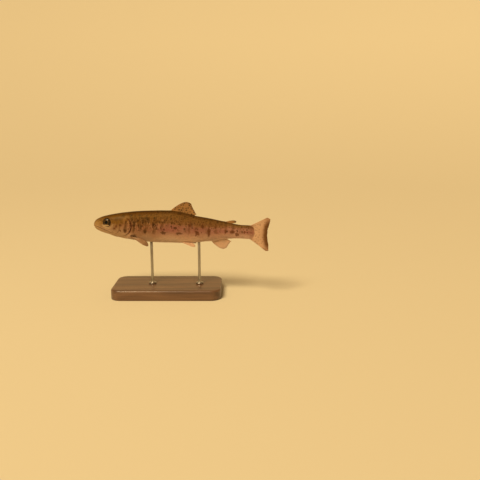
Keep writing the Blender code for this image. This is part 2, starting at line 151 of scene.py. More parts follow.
def makePiece(name, points, faces, material, nodes=(), uv=None, marks=None):
    # a smooth mesh object from points, a list of index arrays (one for each face size), a map given
    # corner by corner like the faces, and named attributes given point by point. Its faces are turned
    # outwards, it rides on the root, and it takes the place of the nodes
    points = np.asarray(points, float).reshape(-1, 3)
    triangles = np.concatenate([f[:, [0, k, k + 1]] for f in faces for k in range(1, f.shape[1] - 1)])
    a, b, c = (points[triangles[:, k]] for k in range(3))
    if np.einsum("ij,ij->i", a, np.cross(b, c)).sum() < 0:
        faces = [f[:, ::-1] for f in faces]
        uv = None if uv is None else [m[:, ::-1] for m in uv]
    sizes = np.concatenate([np.full(len(f), f.shape[1]) for f in faces])
    corners = np.concatenate([f.ravel() for f in faces]).astype(np.int32)
    mesh = bpy.data.meshes.new(name)
    mesh.vertices.add(len(points))
    mesh.vertices.foreach_set("co", points.astype(np.float32).ravel())
    mesh.loops.add(len(corners))
    mesh.loops.foreach_set("vertex_index", corners)
    mesh.polygons.add(len(sizes))
    mesh.polygons.foreach_set("loop_start", np.append(0, np.cumsum(sizes)[:-1]).astype(np.int32))
    mesh.update(calc_edges=True)
    mesh.polygons.foreach_set("use_smooth", np.full(len(sizes), True))
    if uv is not None:
        flat = np.concatenate([m.reshape(-1, 2) for m in uv]).astype(np.float32).ravel()
        mesh.uv_layers.new(name="OFBake").data.foreach_set("uv", flat)
    for label, values in (marks or {}).items():
        layer = mesh.attributes.new(label, "FLOAT_VECTOR", "POINT")
        layer.data.foreach_set("vector", np.asarray(values, np.float32).ravel())
    mesh.materials.append(material)
    piece = newObject(name, mesh)
    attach(piece, "root")
    if nodes:
        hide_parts(*nodes)
    print(" ", name, len(sizes), "faces")


def gridFaces(rows, columns, closed=False):
    # four-cornered faces of a grid whose point (i, j) has the number i * columns + j
    i, j = np.meshgrid(np.arange(rows - 1), np.arange(columns if closed else columns - 1), indexing="ij")
    i, j = i.ravel(), j.ravel()
    k = (j + 1) % columns
    return np.stack([i * columns + j, i * columns + k, (i + 1) * columns + k, (i + 1) * columns + j], -1)


def fanFaces(pole, ring):
    # triangles from a pole to each side of a ring
    return np.stack([np.full(len(ring), pole), ring, np.roll(ring, -1)], -1)


def tubeFaces(rows, columns):
    # a tube of rings whose ends are fans: their poles come next to the last ring, the first ring's first
    ring, count = np.arange(columns), rows * columns
    ends = fanFaces(count, ring)[:, ::-1], fanFaces(count + 1, ring + count - columns)
    return [gridFaces(rows, columns, closed=True), np.concatenate(ends)]


class Wire:
    # a node's output that can be added to, multiplied and so on: each such step is one Math node
    def __init__(self, tree, socket):
        self.tree = tree
        self.socket = socket

    def calc(self, how, other=0.0):
        return add(self.tree, "Math", {0: self, 1: other}, operation=how)

    def __add__(self, other):
        return self.calc("ADD", other)

    def __sub__(self, other):
        return self.calc("SUBTRACT", other)

    def __mul__(self, other):
        return self.calc("MULTIPLY", other)

    def __truediv__(self, other):
        return self.calc("DIVIDE", other)

    def __abs__(self):
        return self.calc("ABSOLUTE")

    def ease(self, low, high, start=0.0, end=1.0):
        # start below low, end above high, and a smooth step between them; low may be the higher one
        return add(self.tree, "MapRange", {0: self, 1: low, 2: high, 3: start, 4: end},
                   interpolation_type="SMOOTHSTEP")


def plug(node, values):
    # into a node's inputs: wires are linked, anything else is set as the value
    for key, value in values.items():
        if isinstance(value, Wire):
            value.tree.links.new(value.socket, node.inputs[key])
        else:
            node.inputs[key].default_value = value


def add(tree, kind, values, out=0, **settings):
    # one node with its settings and inputs; it gives back one output, or a list of them
    node = tree.nodes.new("ShaderNode" + kind)
    for key, value in settings.items():
        setattr(node, key, value)
    plug(node, values)
    if isinstance(out, tuple):
        return [Wire(tree, node.outputs[key]) for key in out]
    return Wire(tree, node.outputs[out])


def attribute(tree, name):
    return add(tree, "Attribute", {}, "Vector", attribute_name=name)


def objectSpace(tree):
    return add(tree, "TexCoord", {}, "Object")


def parts(vector):
    # the three parts of a place or a colour
    return add(vector.tree, "SeparateXYZ", {0: vector}, (0, 1, 2))


def noise(vector, scale, detail=2.0, stretch=(1, 1, 1), out=0):
    # a cloudy pattern, which a stretch under 1 draws out along that axis
    mapped = add(vector.tree, "Mapping", {"Vector": vector, "Scale": stretch})
    return add(vector.tree, "TexNoise", {"Vector": mapped, "Scale": scale, "Detail": detail}, out)


def ruffled(flat, space, scale, detail, amount):
    # a flat pattern's place pushed about by noise, so that its outlines are uneven
    push = noise(space, scale, detail, out=1)
    return add(flat.tree, "VectorMath", {0: push, 1: (amount, amount, 0), 2: flat}, operation="MULTIPLY_ADD")


def cellsIn(flat, scale, spread, out=("Distance", "Color"), feature="F1"):
    # scattered cells in two dimensions
    return add(flat.tree, "TexVoronoi", {"Vector": flat, "Scale": scale, "Randomness": spread}, out,
               voronoi_dimensions="2D", feature=feature)


def blend(share, a, b):
    # from a to b by the share, which may change over the surface
    a, b = ((*v, 1.0) if isinstance(v, tuple) else v for v in (a, b))
    return add(share.tree, "Mix", {0: share, 6: a, 7: b}, 2, data_type="RGBA")


def dim(colour, amount):
    # a colour or a place times an amount
    return add(colour.tree, "VectorMath", {0: colour, "Scale": amount}, operation="SCALE")


def bump(height, strength, distance):
    return add(height.tree, "Bump", {"Height": height, "Strength": strength, "Distance": distance})


def ramp(value, stops):
    # colours run smoothly past the stops, a list of places and colours
    node = value.tree.nodes.new("ShaderNodeValToRGB")
    plug(node, {"Fac": value})
    elements = node.color_ramp.elements
    for position, colour in stops[1:-1]:
        elements.new(position)
    for element, (position, colour) in zip(elements, stops):
        element.position = position
        element.color = (*colour, 1.0)
    node.color_ramp.interpolation = "B_SPLINE"
    return Wire(value.tree, node.outputs[0])


def newMaterial(name, **constants):
    # a material with one Principled BSDF, whose constant sockets are set straight on it
    material = bpy.data.materials.new(name)
    material.use_nodes = True
    shader = material.node_tree.nodes["Principled BSDF"]
    plug(shader, {key.replace("_", " "): value for key, value in constants.items()})
    return material, material.node_tree, shader


# How the trout is marked, on the skin and on the scales alike. Colours are linear.
marks = {
    "front": [(0.00, (0.66, 0.490, 0.390)), (0.18, (0.50, 0.315, 0.205)), (0.30, (0.360, 0.198, 0.118)),
              (0.42, (0.255, 0.126, 0.066)), (0.55, (0.210, 0.096, 0.033)), (0.72, (0.156, 0.062, 0.011)),
              (1.00, (0.094, 0.035, 0.003))],
    "side": [(0.00, (0.78, 0.600, 0.480)), (0.18, (0.66, 0.450, 0.320)), (0.32, (0.460, 0.255, 0.176)),
             (0.46, (0.350, 0.172, 0.120)), (0.57, (0.295, 0.135, 0.088)), (0.68, (0.200, 0.092, 0.031)),
             (1.00, (0.108, 0.048, 0.009))],
    "head": [(0.00, (0.51, 0.345, 0.215)), (0.25, (0.41, 0.262, 0.162)), (0.44, (0.268, 0.152, 0.080)),
             (0.62, (0.155, 0.074, 0.016)), (0.80, (0.122, 0.054, 0.004)), (1.00, (0.092, 0.039, 0.003))],
    "rose": (0.300, 0.102, 0.086),
    "bar": (0.080, 0.035, 0.011),
    "rearBar": (0.115, 0.042, 0.014),
    "between": (0.400, 0.225, 0.115),
    "blotch": (0.052, 0.021, 0.007),
    "redBlotch": (0.110, 0.034, 0.012),
    "spot": (0.024, 0.011, 0.004),
    "headSpot": (0.062, 0.022, 0.009),
    "ridge": (0.042, 0.019, 0.003),
    "chin": (0.50, 0.34, 0.22),
    "snout": (0.42, 0.27, 0.110),
    "gillEdge": (0.170, 0.036, 0.018),
    "tailEnd": (0.200, 0.085, 0.050),
    "underTail": (0.330, 0.140, 0.100),
    "underEye": (0.50, 0.35, 0.20),
    # painted shade: the colour that creases, slits, pits and the gill opening are darkened towards
    "creaseShade": (0.045, 0.019, 0.009),
    "moon": {"s": 0.094, "h": 0.021, "halfLength": 0.035, "halfHeight": 0.033},  # the ring under the eye
    "spots": (  # cell in mm, spot radius in cells, stretch along and around; the last on back and head
        (4.3, 0.38, 1.25, 0.86), (3.1, 0.36, 1.15, 0.90), (2.5, 0.31, 1.05, 1.00)),
    "scatter": 0.8,  # of the cells, 0 for an even grid
    "bars": [  # s and strength
        (0.206, 0.8), (0.236, 0.9), (0.258, 0.8), (0.296, 0.6), (0.332, 0.9), (0.388, 1.0), (0.440, 0.4),
        (0.500, 0.3), (0.560, 0.4), (0.612, 0.8), (0.662, 0.3), (0.692, 0.7), (0.736, 0.9), (0.778, 0.6),
        (0.840, 0.8), (0.886, 0.8), (0.930, 0.5)],
    # patches by s, level between belly and back, half length and half height
    "temple": [(0.095, 0.74, 0.030, 0.20), (0.165, 0.68, 0.038, 0.17)],
    "templeStrength": 2.2,
    "blotches": [
        (0.139, -0.16, 0.007, 0.10), (0.153, 0.66, 0.018, 0.13), (0.193, 0.82, 0.015, 0.13),
        (0.151, 0.04, 0.008, 0.11), (0.177, 0.14, 0.009, 0.11), (0.174, -0.30, 0.007, 0.10),
        (0.206, -0.28, 0.010, 0.17), (0.212, 0.34, 0.006, 0.12), (0.256, -0.62, 0.022, 0.15),
        (0.264, 0.26, 0.010, 0.20), (0.283, 0.46, 0.011, 0.13), (0.317, 0.42, 0.010, 0.16),
        (0.330, -0.20, 0.011, 0.13), (0.352, 0.50, 0.010, 0.15), (0.382, 0.22, 0.008, 0.22),
        (0.447, -0.25, 0.017, 0.12), (0.520, 0.10, 0.012, 0.11), (0.546, -0.26, 0.019, 0.12),
        (0.612, 0.32, 0.012, 0.14), (0.662, -0.26, 0.016, 0.20), (0.692, 0.30, 0.011, 0.14),
        (0.736, -0.20, 0.0105, 0.44), (0.778, 0.36, 0.009, 0.16), (0.841, 0.00, 0.0070, 0.34),
        (0.884, -0.02, 0.020, 0.24), (0.916, -0.36, 0.014, 0.26), (0.962, 0.02, 0.007, 0.26)],
}


def groundColour(s, tone, cloud, grain):
    # the colours run from the belly to the back: olive further down in front, mauve behind, the head's own
    # ahead of both; the snout and the belly under the tail stalk are warmer
    height = (tone + grain * 0.16 + cloud * 0.58 - s.ease(0.70, 0.94, 0.0, 0.40)) * 0.5 + 0.5
    front, side, head = (ramp(height, marks[key]) for key in ("front", "side", "head"))
    colour = blend((s + cloud * 0.10).ease(0.34, 0.50), front, side)
    colour = blend((s + cloud * 0.06).ease(0.245, 0.175), colour, head)
    snout = s.ease(0.085, 0.015) * tone.ease(1.0, 0.3, 0.3, 1.0) * 0.50
    colour = blend(snout, colour, marks["snout"])
    under = s.ease(0.58, 0.84) * tone.ease(0.05, -0.28) * tone.ease(-1.0, -0.72, 0.4, 1.0) * 0.60
    return blend(under, colour, marks["underTail"])


def roseBand(s, tone, form):
    # a patchy band from the cheek to the tail's root, strongest in mid-body and again on the tail stalk
    band = tone.ease(-0.36, -0.04) * tone.ease(0.36, 0.08) * s.ease(0.13, 0.24) * s.ease(1.06, 1.00)
    patchy = noise(form, 120, stretch=(0.5, 1, 1)).ease(0.30, 0.68, 0.30, 1.0)
    strongest = abs(s - 0.475).ease(0.12, 0.02, 0.0, 0.45)
    return band * patchy * (strongest + s.ease(0.28, 0.45, 0.30, 0.50) + s.ease(0.80, 0.94, 0.0, 0.40))


def marbling(s, tone, bars, flat, colour):
    # dark marbling in upright patches with pale streaks between them
    marble = blend(s.ease(0.45, 0.60), noise(flat, 170, 3, (1, 0.55, 1)), noise(flat, 125, 3, (1, 0.75, 1)))
    onFlank = tone.ease(-0.50, -0.15) * tone.ease(0.95, 0.70)
    patch = (marble + bars * 0.26).ease(0.50, 0.76) * onFlank
    patch = patch * s.ease(0.04, 0.10) * s.ease(0.19, 0.24, 0.88, 0.74) * s.ease(0.42, 0.55, 1.0, 0.80)
    colour = blend(patch, colour, blend(s.ease(0.38, 0.60), marks["bar"], marks["rearBar"]))
    worm = abs(noise(flat, 310, stretch=(1, 0.24, 1)) - 0.5)
    inFront = (s.ease(0.16, 0.25) * s.ease(0.50, 0.40)).calc("MAXIMUM", 0.22)
    streak = worm.ease(0.075, 0.020) * onFlank * patch.ease(0.30, 0.10, 0.45, 1.0) * tone.ease(0.70, 0.40)
    return blend(streak * inFront * 0.50, colour, marks["between"])


def stained(s, tone, blotches, form, colour):
    # large ragged blotches, nearly black in the front half of the trunk and redder ahead of and behind it;
    # near the back they take the ridge's colour. Also returns a mask of them.
    torn = blotches + (noise(form, 300, 3) - 0.5) * 1.70
    blotch = torn.ease(0.26, 0.74) * blotches.ease(0.08, 0.30)
    stain = blend(abs(s - 0.38).ease(0.16, 0.24), marks["blotch"], marks["redBlotch"])
    stain = blend(tone.ease(0.35, 0.60), stain, marks["ridge"])
    return blend(blotch * 0.76, colour, stain), blotch * 0.6


def spotted(s, tone, bars, form, flat, colour, dark):
    # spots in scattered cells of three sizes, with uneven outlines; a cell keeps its spot by chance
    onBack = tone.ease(0.05, 0.50) * s.ease(0.18, 0.24) * 0.72
    onHead = tone.ease(0.00, 0.42) * s.ease(0.26, 0.19) * 0.66
    onSide = tone.ease(-0.30, 0.08) * s.ease(0.20, 0.26) * s.ease(0.42, 0.62, 1.0, 0.55)
    inBars = onSide * (bars * 0.40 + 0.34)
    ink = blend(s.ease(0.235, 0.205), marks["spot"], marks["headSpot"])
    flat = ruffled(flat, form, 420, 1.0, 0.0012)
    shares = (inBars, inBars, onBack.calc("MAXIMUM", onHead))
    for (cell, radius, *stretch), kept in zip(marks["spots"], shares):
        scaled = add(flat.tree, "Mapping", {"Vector": flat, "Scale": (*stretch, 0)})
        cells = (scaled, 1 / (cell * mm), marks["scatter"])
        distance, tint = cellsIn(*cells)
        border = cellsIn(*cells, out=0, feature="DISTANCE_TO_EDGE")
        first, second, third = parts(tint)
        inside = (distance / ((first * 0.70 + 0.60) * radius)).ease(1.25, 0.60) * border.ease(0.02, 0.10)
        spot = inside * (kept - second).ease(-0.02, 0.06) * (third * 0.34 + 0.40)
        colour = blend(spot, colour, ink)
        dark = dark.calc("MAXIMUM", spot)
    return colour, dark


def lined(s, h, tone, around, creaseShades, colour):
    # a dark line along the back, a pale chin and throat, a pale crescent under the eye, a red gill edge,
    # the flesh at the tail's end, and painted shade darkening the creases
    ridge = abs(around).ease(0.0080, 0.0010) * s.ease(0.02, 0.10) * s.ease(0.47, 0.52, 0.80, 0.50)
    colour = blend(ridge, colour, marks["ridge"])
    colour = blend(s.ease(0.19, 0.02) * h.ease(-0.010, -0.034) * 0.45, colour, marks["chin"])
    offS = (s - marks["moon"]["s"]) / marks["moon"]["halfLength"]
    offH = (h - marks["moon"]["h"]) / marks["moon"]["halfHeight"]
    off = (offS * offS + offH * offH).calc("SQRT") - 1.0
    moon = abs(off).ease(0.26, 0.06) * (offH - offS * 0.16).ease(-0.10, -0.55)
    colour = blend(moon * s.ease(0.120, 0.098, 0.3, 1.0) * 0.76, colour, marks["underEye"])
    red = abs(creaseShades - 0.30).ease(0.30, 0.0) * s.ease(0.19, 0.205) * s.ease(0.262, 0.25)
    colour = blend(red * tone.ease(-0.7, -0.3) * 0.70, colour, marks["gillEdge"])
    colour = blend(s.ease(0.972, 1.015, 0.0, 0.45), colour, marks["tailEnd"])
    # painted shade: the depth of the creases, slits and pits darkens the colour
    return blend(creaseShades * 0.92, colour, marks["creaseShade"])


def markGroup():
    # "Lie" is the place along and around the body and the tone, -1 at the belly and 1 at the back; "Form"
    # is the place on the straightened body; the third input is bars, blotches and the depth of creases,
    # which is painted as shade. "Dark" is a mask of the dark marks, "Sheen" one of the silvery side.
    tree = bpy.data.node_groups.new("troutMarks", "ShaderNodeTree")
    for label in ("Lie", "Form", "MarksAndCreaseShade"):
        tree.interface.new_socket(label, in_out="INPUT", socket_type="NodeSocketVector")
    for label, kind in (("Colour", "Color"), ("Dark", "Float"), ("Sheen", "Float")):
        tree.interface.new_socket(label, in_out="OUTPUT", socket_type="NodeSocket" + kind)
    given = tree.nodes.new("NodeGroupInput").outputs
    lie, form, marksAndCreaseShade = (Wire(tree, given[k]) for k in range(3))
    along, around, tone = parts(lie)
    bars, blotches, creaseShades = parts(marksAndCreaseShade)
    s = along / length
    h = parts(form)[2] / length
    flat = add(tree, "CombineXYZ", {0: along, 1: around})
    cloud = noise(form, 75, 3) - 0.5
    grain = noise(form, 620) - 0.5
    colour = groundColour(s, tone, cloud, grain)
    colour = blend(roseBand(s, tone, form), colour, marks["rose"])
    colour = marbling(s, tone, bars, flat, colour)
    colour, dark = stained(s, tone, blotches, form, colour)
    colour, dark = spotted(s, tone, bars, form, flat, colour, dark)
    colour = lined(s, h, tone, around, creaseShades, colour)
    plug(tree.nodes.new("NodeGroupOutput"), {
        "Colour": dim(colour, cloud * 0.30 + 1.0 + grain * 0.42), "Dark": dark,
        "Sheen": tone.ease(0.45, -0.25) * tone.ease(-1.1, -0.5) * 0.22})
    return tree


troutMarks = markGroup()


def scalyMaterial(name, coat, coatRoughness, specular):
    # a material whose colour and sheen come from the marks; it gives back their colour and mask too
    material, tree, shader = newMaterial(name, Coat_Weight=coat, Coat_Roughness=coatRoughness,
                                         Specular_IOR_Level=specular, Specular_Tint=(1.0, 0.62, 0.12, 1.0))
    look = tree.nodes.new("ShaderNodeGroup")
    look.node_tree = troutMarks
    form = attribute(tree, "form")
    plug(look, {"Lie": attribute(tree, "lie"), "Form": form, "MarksAndCreaseShade": attribute(tree, "marksAndCreaseShade")})
    colour, dark, sheen = (Wire(tree, look.outputs[k]) for k in range(3))
    plug(shader, {"Metallic": sheen})
    return material, shader, form, colour, dark


def skinMaterial():
    material, shader, form, colour, dark = scalyMaterial("trout_skin", 0.04, 0.30, 0.22)
    pores = noise(form, 2600)
    plug(shader, {"Base Color": colour, "Roughness": pores * 0.16 + dark * 0.06 + 0.38,
                  "Normal": bump(pores + noise(form, 900, 3), 0.30, 0.13 * mm)})
    return material


def scaleMaterial():
    # each scale is a little darker at its free edge and a little unlike its neighbours
    material, shader, form, colour, _ = scalyMaterial("trout_scales", 0.02, 0.28, 0.26)
    tint, towardsEdge, _ = parts(attribute(form.tree, "scale"))
    light = (tint * 0.20 + 0.95) * towardsEdge.ease(0.45, 1.0, 1.0, 0.92)
    plug(shader, {"Base Color": dim(colour, light), "Roughness": tint * 0.12 + 0.36,
                  "Normal": bump(noise(form, 2400, stretch=(0.4, 1, 1)), 0.20, 0.06 * mm)})
    return material


# The skin: one closed surface over head, jaws, gill covers, trunk and tail stalk
skin = {
    "headRings": 198,
    "trunkRings": 50,
    "headEnd": 0.300,
    "tip": (0.0025, 16),  # the first rings, closer together: how far they reach and how many they are
    "crowding": (2, 1.35),  # of the tip's rings and the head's towards the snout, 1 for even steps
    "columns": 384,
    "sections": (1000, 241, 1.7),  # the plain body's rings, places on each, and crowding at the snout
    "gillRow": 0.235,  # the rings near here bend to follow the gill opening, and straighten out by gillReach
    "gillReach": 0.40,
    "gillFold": (  # steps back from the edge, heights in mm and shade: over the lip, into the slit
        (-0.0022, 0.36, 0), (-0.0008, 0.40, 0), (0.0007, 0.34, 0.1), (0.0014, 0.14, 0.5),
        (0.0012, -0.08, 0.9), (-0.0002, -0.34, 1), (-0.0010, -0.78, 1), (0.0012, -1.02, 1),
        (0.0042, -0.88, 0.9)),
    "gillOpens": (0.285, 0.010),  # where the slit begins, as a share from the ridge to the belly
    "gillRay": 0.0085,
    "coat": 0.22 * mm,  # how deep the skin lies under the scales' outside
    "scaled": ((0.00, 0.196), (0.14, 0.212), (0.26, 0.236), (0.46, 0.258), (0.62, 0.252), (0.80, 0.235),
               (1.00, 0.205)),  # where the scales begin: share from the ridge to the belly, and s
    "gillEdge": ((0.00, 0.205), (0.26, 0.212), (0.34, 0.230), (0.46, 0.2405), (0.56, 0.238), (0.66, 0.226),
                 (0.76, 0.203), (0.86, 0.172), (0.94, 0.146), (1.00, 0.128)),
    "mouth": ((-0.020, 0.0010), (0.000, -0.0002), (0.016, -0.0068), (0.038, -0.0132), (0.065, -0.0225),
              (0.098, -0.0355), (0.122, -0.0455)),
    "maxilla": ((0.020, -0.0030), (0.045, -0.0085), (0.075, -0.0175), (0.100, -0.0275), (0.118, -0.0375)),
    "supramaxilla": ((0.072, -0.0105), (0.092, -0.0178), (0.108, -0.0275)),
    "nostrils": ((0.0450, 0.0318, 0.0023), (0.0532, 0.0340, 0.0020)),  # s, h and radius
    "preopercle": ((0.173, 0.034), (0.172, 0.010), (0.167, -0.018), (0.154, -0.040), (0.128, -0.055)),
    "subopercle": ((0.172, -0.034), (0.200, -0.037), (0.234, -0.024)),
    "jawLine": ((0.020, -0.036), (0.060, -0.050), (0.100, -0.0605), (0.134, -0.060)),
    # swellings under the fins: height in mm, half width, from s to s and softness; for the mounds height in
    # mm, s, share from ridge to belly, half length and half height
    "backRidges": ((0.75, 0.0085, 0.474, 0.634, 0.012), (0.45, 0.0070, 0.818, 0.866, 0.010)),
    "bellyRidges": ((0.75, 0.085, 0.736, 0.842, 0.012),),
    "mounds": ((0.55, 0.240, 0.785, 0.016, 0.060), (0.50, 0.553, 0.880, 0.019, 0.070)),
    "lateralLine": 0.47,  # of the way from the back's ridge to the belly
    "nodes": ("head", "lower_jaw", "maxilla_left", "maxilla_right", "gill_cover_left", "gill_cover_right",
              "trunk_front", "trunk_rear", "tail_stalk"),
}
eye = {"s": 0.090, "h": 0.020, "w": 0.0350, "radius": 0.0290, "depth": 0.0145, "seen": 0.0245,
       "toeIn": math.radians(11), "tilt": math.radians(11), "rings": 64, "columns": 96}


# Reliefs are heights over the plain body, in metres, as humps and steps about the head's own lines, for
# arrays of s, h and the share f from ridge to belly. Each comes with the depth of its creases, 0 to 1,
# which the skin's colour darkens as painted shade.
def mouthRelief(s, h):
    # an upper lip, a slit and a lower lip, fading out at the corner
    d, t = fromLine(s, h, skin["mouth"])
    lips = rise((0.94 - t) / 0.03)
    slit = 0.85 * hump(d / 0.0018)
    up = mm * lips * (0.30 * hump((d - 0.0046) / 0.0042) + 0.26 * hump((d + 0.0050) / 0.0045) - slit)
    creaseShade = lips * hump(d / 0.0017)

    # the maxilla, a blade that widens backwards over the mouth, and the small one on top of it
    d, t = fromLine(s, h, skin["maxilla"])
    up += mm * rise((0.0032 + 0.0040 * t - np.abs(d)) / 0.0021) * (0.16 + 0.30 * t)
    rim = 0.36 * hump((np.abs(d) - 0.0038 - 0.0040 * t) / 0.0016) * window(t, 0.15, 1.05, 0.04)
    d, t = fromLine(s, h, skin["supramaxilla"])
    up += mm * 0.17 * rise((0.0030 * np.sin(math.pi * np.clip(t, 0.02, 0.98)) ** 0.5 - np.abs(d)) / 0.0019)
    return up, np.maximum(creaseShade, rim)


def eyeRelief(s, h):
    # the eye's socket, its rim, and the ring of thin bones round it
    r = np.hypot(s - eye["s"], h - eye["h"]) / eye["seen"]
    turn = np.arctan2(h - eye["h"], s - eye["s"])
    up = -mm * (0.32 * rise((1.10 - r) / 0.06) + 1.4 * rise((0.93 - r) / 0.05))
    up += mm * (0.20 * hump((r - 1.20) / 0.09) - 0.12 * hump((r - 1.42) / 0.08))
    up += mm * 0.10 * hump((r - 1.85) / 0.16) * rise(-np.sin(turn) / 0.3)
    return up, 0.9 * rise((1.02 - r) / 0.03)


def noseRelief(s, h):
    # two nostrils on each side, with a flap of skin between them
    up = mm * 0.30 * hump(np.hypot((s - 0.0492) / 0.0013, (h - 0.0330) / 0.0030))
    creaseShade = 0
    for atS, atH, size in skin["nostrils"]:
        q = np.hypot(s - atS, h - atH) / size
        up += mm * (0.10 * hump((q - 1.9) / 0.7) - 0.85 * hump(q / 0.95))
        creaseShade = np.maximum(creaseShade, 0.95 * hump(q / 0.85))
    return up, creaseShade


def coverRelief(s, h):
    # cheek muscle, the ridge of the preopercle and the sutures of the gill cover
    up = mm * 0.30 * hump(np.hypot((s - 0.137) / 0.024, (h + 0.010) / 0.026))
    d, t = fromLine(s, h, skin["preopercle"])
    ends = window(t, 0.02, 0.97, 0.03)
    up += mm * ends * (0.16 * hump((d + 0.0022) / 0.0026) - 0.26 * rise(d / 0.0008) * hump(d / 0.014))
    creaseShade = 0.45 * ends * hump((d - 0.0009) / 0.0012)
    d, t = fromLine(s, h, skin["subopercle"])
    suture = window(t, 0.03, 0.97, 0.03) * hump(d / 0.0011)
    return up - mm * 0.15 * suture, np.maximum(creaseShade, 0.30 * suture)


def throatRelief(s, h, f):
    # the fold under the lower jaw, the groove between the two jaw bones, and gill rays under the cover
    d, t = fromLine(s, h, skin["jawLine"])
    up = -mm * 0.20 * window(t, 0.05, 0.95, 0.05) * hump(d / 0.0020)
    up -= mm * 0.30 * hump((1 - f) / 0.035) * window(s, 0.022, 0.115, 0.008)
    up += mm * 0.25 * hump((1 - f) / 0.10) * window(s, 0.140, 0.215, 0.012)
    d = s - through(skin["gillEdge"], f)
    under = window(f, 0.74, 0.97, 0.02) * window(-d, 0.003, 0.046, 0.003)
    beat = np.cos(2 * math.pi * d / skin["gillRay"])
    return up + mm * 0.11 * under * beat, 0.18 * under * rise(-beat / 0.3)


def napeRelief(s, f):
    # the nape's edge, where scales begin, and a shallow furrow over the skull
    up = -mm * 0.12 * hump((s - 0.192) / 0.010) * rise((0.30 - f) / 0.05)
    return up - mm * 0.15 * hump(f / 0.06) * window(s, 0.07, 0.16, 0.015), 0 * s


def headRelief(s, h, f):
    reliefs = (mouthRelief(s, h), eyeRelief(s, h), noseRelief(s, h), coverRelief(s, h),
               throatRelief(s, h, f), napeRelief(s, f))
    heights, creaseShades = zip(*reliefs)
    return sum(heights), np.max(creaseShades, axis=0)


def trunkRelief(s, f, arc):
    # swellings at the roots of the fins: ridges along the back and belly, and low mounds on the sides
    up = np.zeros_like(f)
    for off, ridges in ((arc, skin["backRidges"]), (1 - f, skin["bellyRidges"])):
        for high, wide, *stretch in ridges:
            up += mm * high * hump(off / wide) * window(s, *stretch)
    for high, atS, atF, long, tall in skin["mounds"]:
        up += mm * high * hump(np.hypot((s - atS) / long, (f - atF) / tall))
    up -= mm * 0.10 * hump((f - skin["lateralLine"]) / 0.020) * rise((s - 0.26) / 0.01)
    up -= mm * 0.70 * rise((s - 1.016) / 0.005)  # the flesh sinks between the roots of the tail's rays
    return up


def crossSections():
    # the plain body's rings, each spaced evenly along its arc from the ridge to the belly: w, h and arc
    rings, places, crowding = skin["sections"]
    s = body["stations"][-1][0] * np.linspace(0, 1, rings + 1)[1:] ** crowding
    back, belly, width, upper, lower = (v[:, None] for v in bodySizes(s))
    angle = np.linspace(math.pi / 2, -math.pi / 2, places)[None, :]
    power = 2 / np.where(angle >= 0, upper, lower)
    w = width * np.cos(angle).clip(0) ** power
    h = np.where(angle >= 0, back, -belly) * np.abs(np.sin(angle)) ** power
    steps = [np.diff(v, axis=1, prepend=v[:, :1]) for v in (w, h)]
    arc = np.cumsum(np.hypot(*steps), axis=1)
    f = np.linspace(0, 1, skin["columns"] // 2 + 1)
    w, h = (np.array([np.interp(f, a / a[-1], row) for a, row in zip(arc, v)]) for v in (w, h))
    return s, w, h, arc[:, -1]


def slitOpen(f):
    # how far the gill slit is open: shut near the ridge, and open from a share of the way down
    start, soft = skin["gillOpens"]
    return rise((f - start) / soft)


def slitDepth(gap):
    # how the skin dips behind the gill opening, and comes up again with the distance from it
    return np.exp(-np.abs(gap) / 0.009)


def gillRings(rows, f):
    # rings whose s varies round the body, so that one of them runs along the gill opening. Returns s with
    # and without the fold at the opening, the lift of the skin there, and how deep it lies in the crease,
    # which is painted as shade.
    home, reach = skin["gillRow"], skin["gillReach"]
    edge = through(skin["gillEdge"], f)
    pull = home - edge
    near = rows[:, None]
    ahead = near - pull * np.clip(near / home, 0, 1) ** 1.5
    behind = near - pull * (1 - np.clip((near - home) / (reach - home), 0, 1)) ** 2
    plain = np.where(near <= home, ahead, behind)
    step, foldHeight, foldShade = np.array(skin["gillFold"]).T[..., None]
    squeeze = np.clip(1 - 1.5 * pull / home, 0.25, 1)
    even = np.linspace(step[0], step[-1], len(step))
    even, folded = (edge + np.where(v < 0, v * squeeze, v) for v in (even, step))
    opened = slitOpen(f)
    folded = even + (folded - even) * opened
    first, last = np.searchsorted(rows, (home + step[0, 0], home + step[-1, 0] + 0.0005))
    gap = plain - edge
    lift = mm * opened * np.where(gap <= 0, 0.40 * hump(gap / 0.020), -slitDepth(gap))
    creaseShade = opened * np.where(gap <= 0, 0, hump(gap / 0.006))
    pairs = (plain, folded), (plain, even), (lift, mm * opened * foldHeight), (creaseShade, opened * foldShade)
    return [np.concatenate([regular[:first], special, regular[last:]]) for regular, special in pairs]


def patterned(s, tone):
    # broad fields that the shader breaks up: faint upright bars and the row of large blotches
    def patches(places):
        return [hump((s - at) / long) * hump((tone - level) / tall) for at, level, long, tall in places]

    strongest = marks["templeStrength"]
    bars = sum(hump((s - at - 0.008 * tone) / 0.0095) * size for at, size in marks["bars"])
    bars = np.max([bars, *(strongest * patch for patch in patches(marks["temple"]))], axis=0)
    bars = np.clip(bars * window(tone, -0.45, 0.95, 0.15), 0, strongest)
    return bars, np.clip(sum(patches(marks["blotches"])), 0, 1)


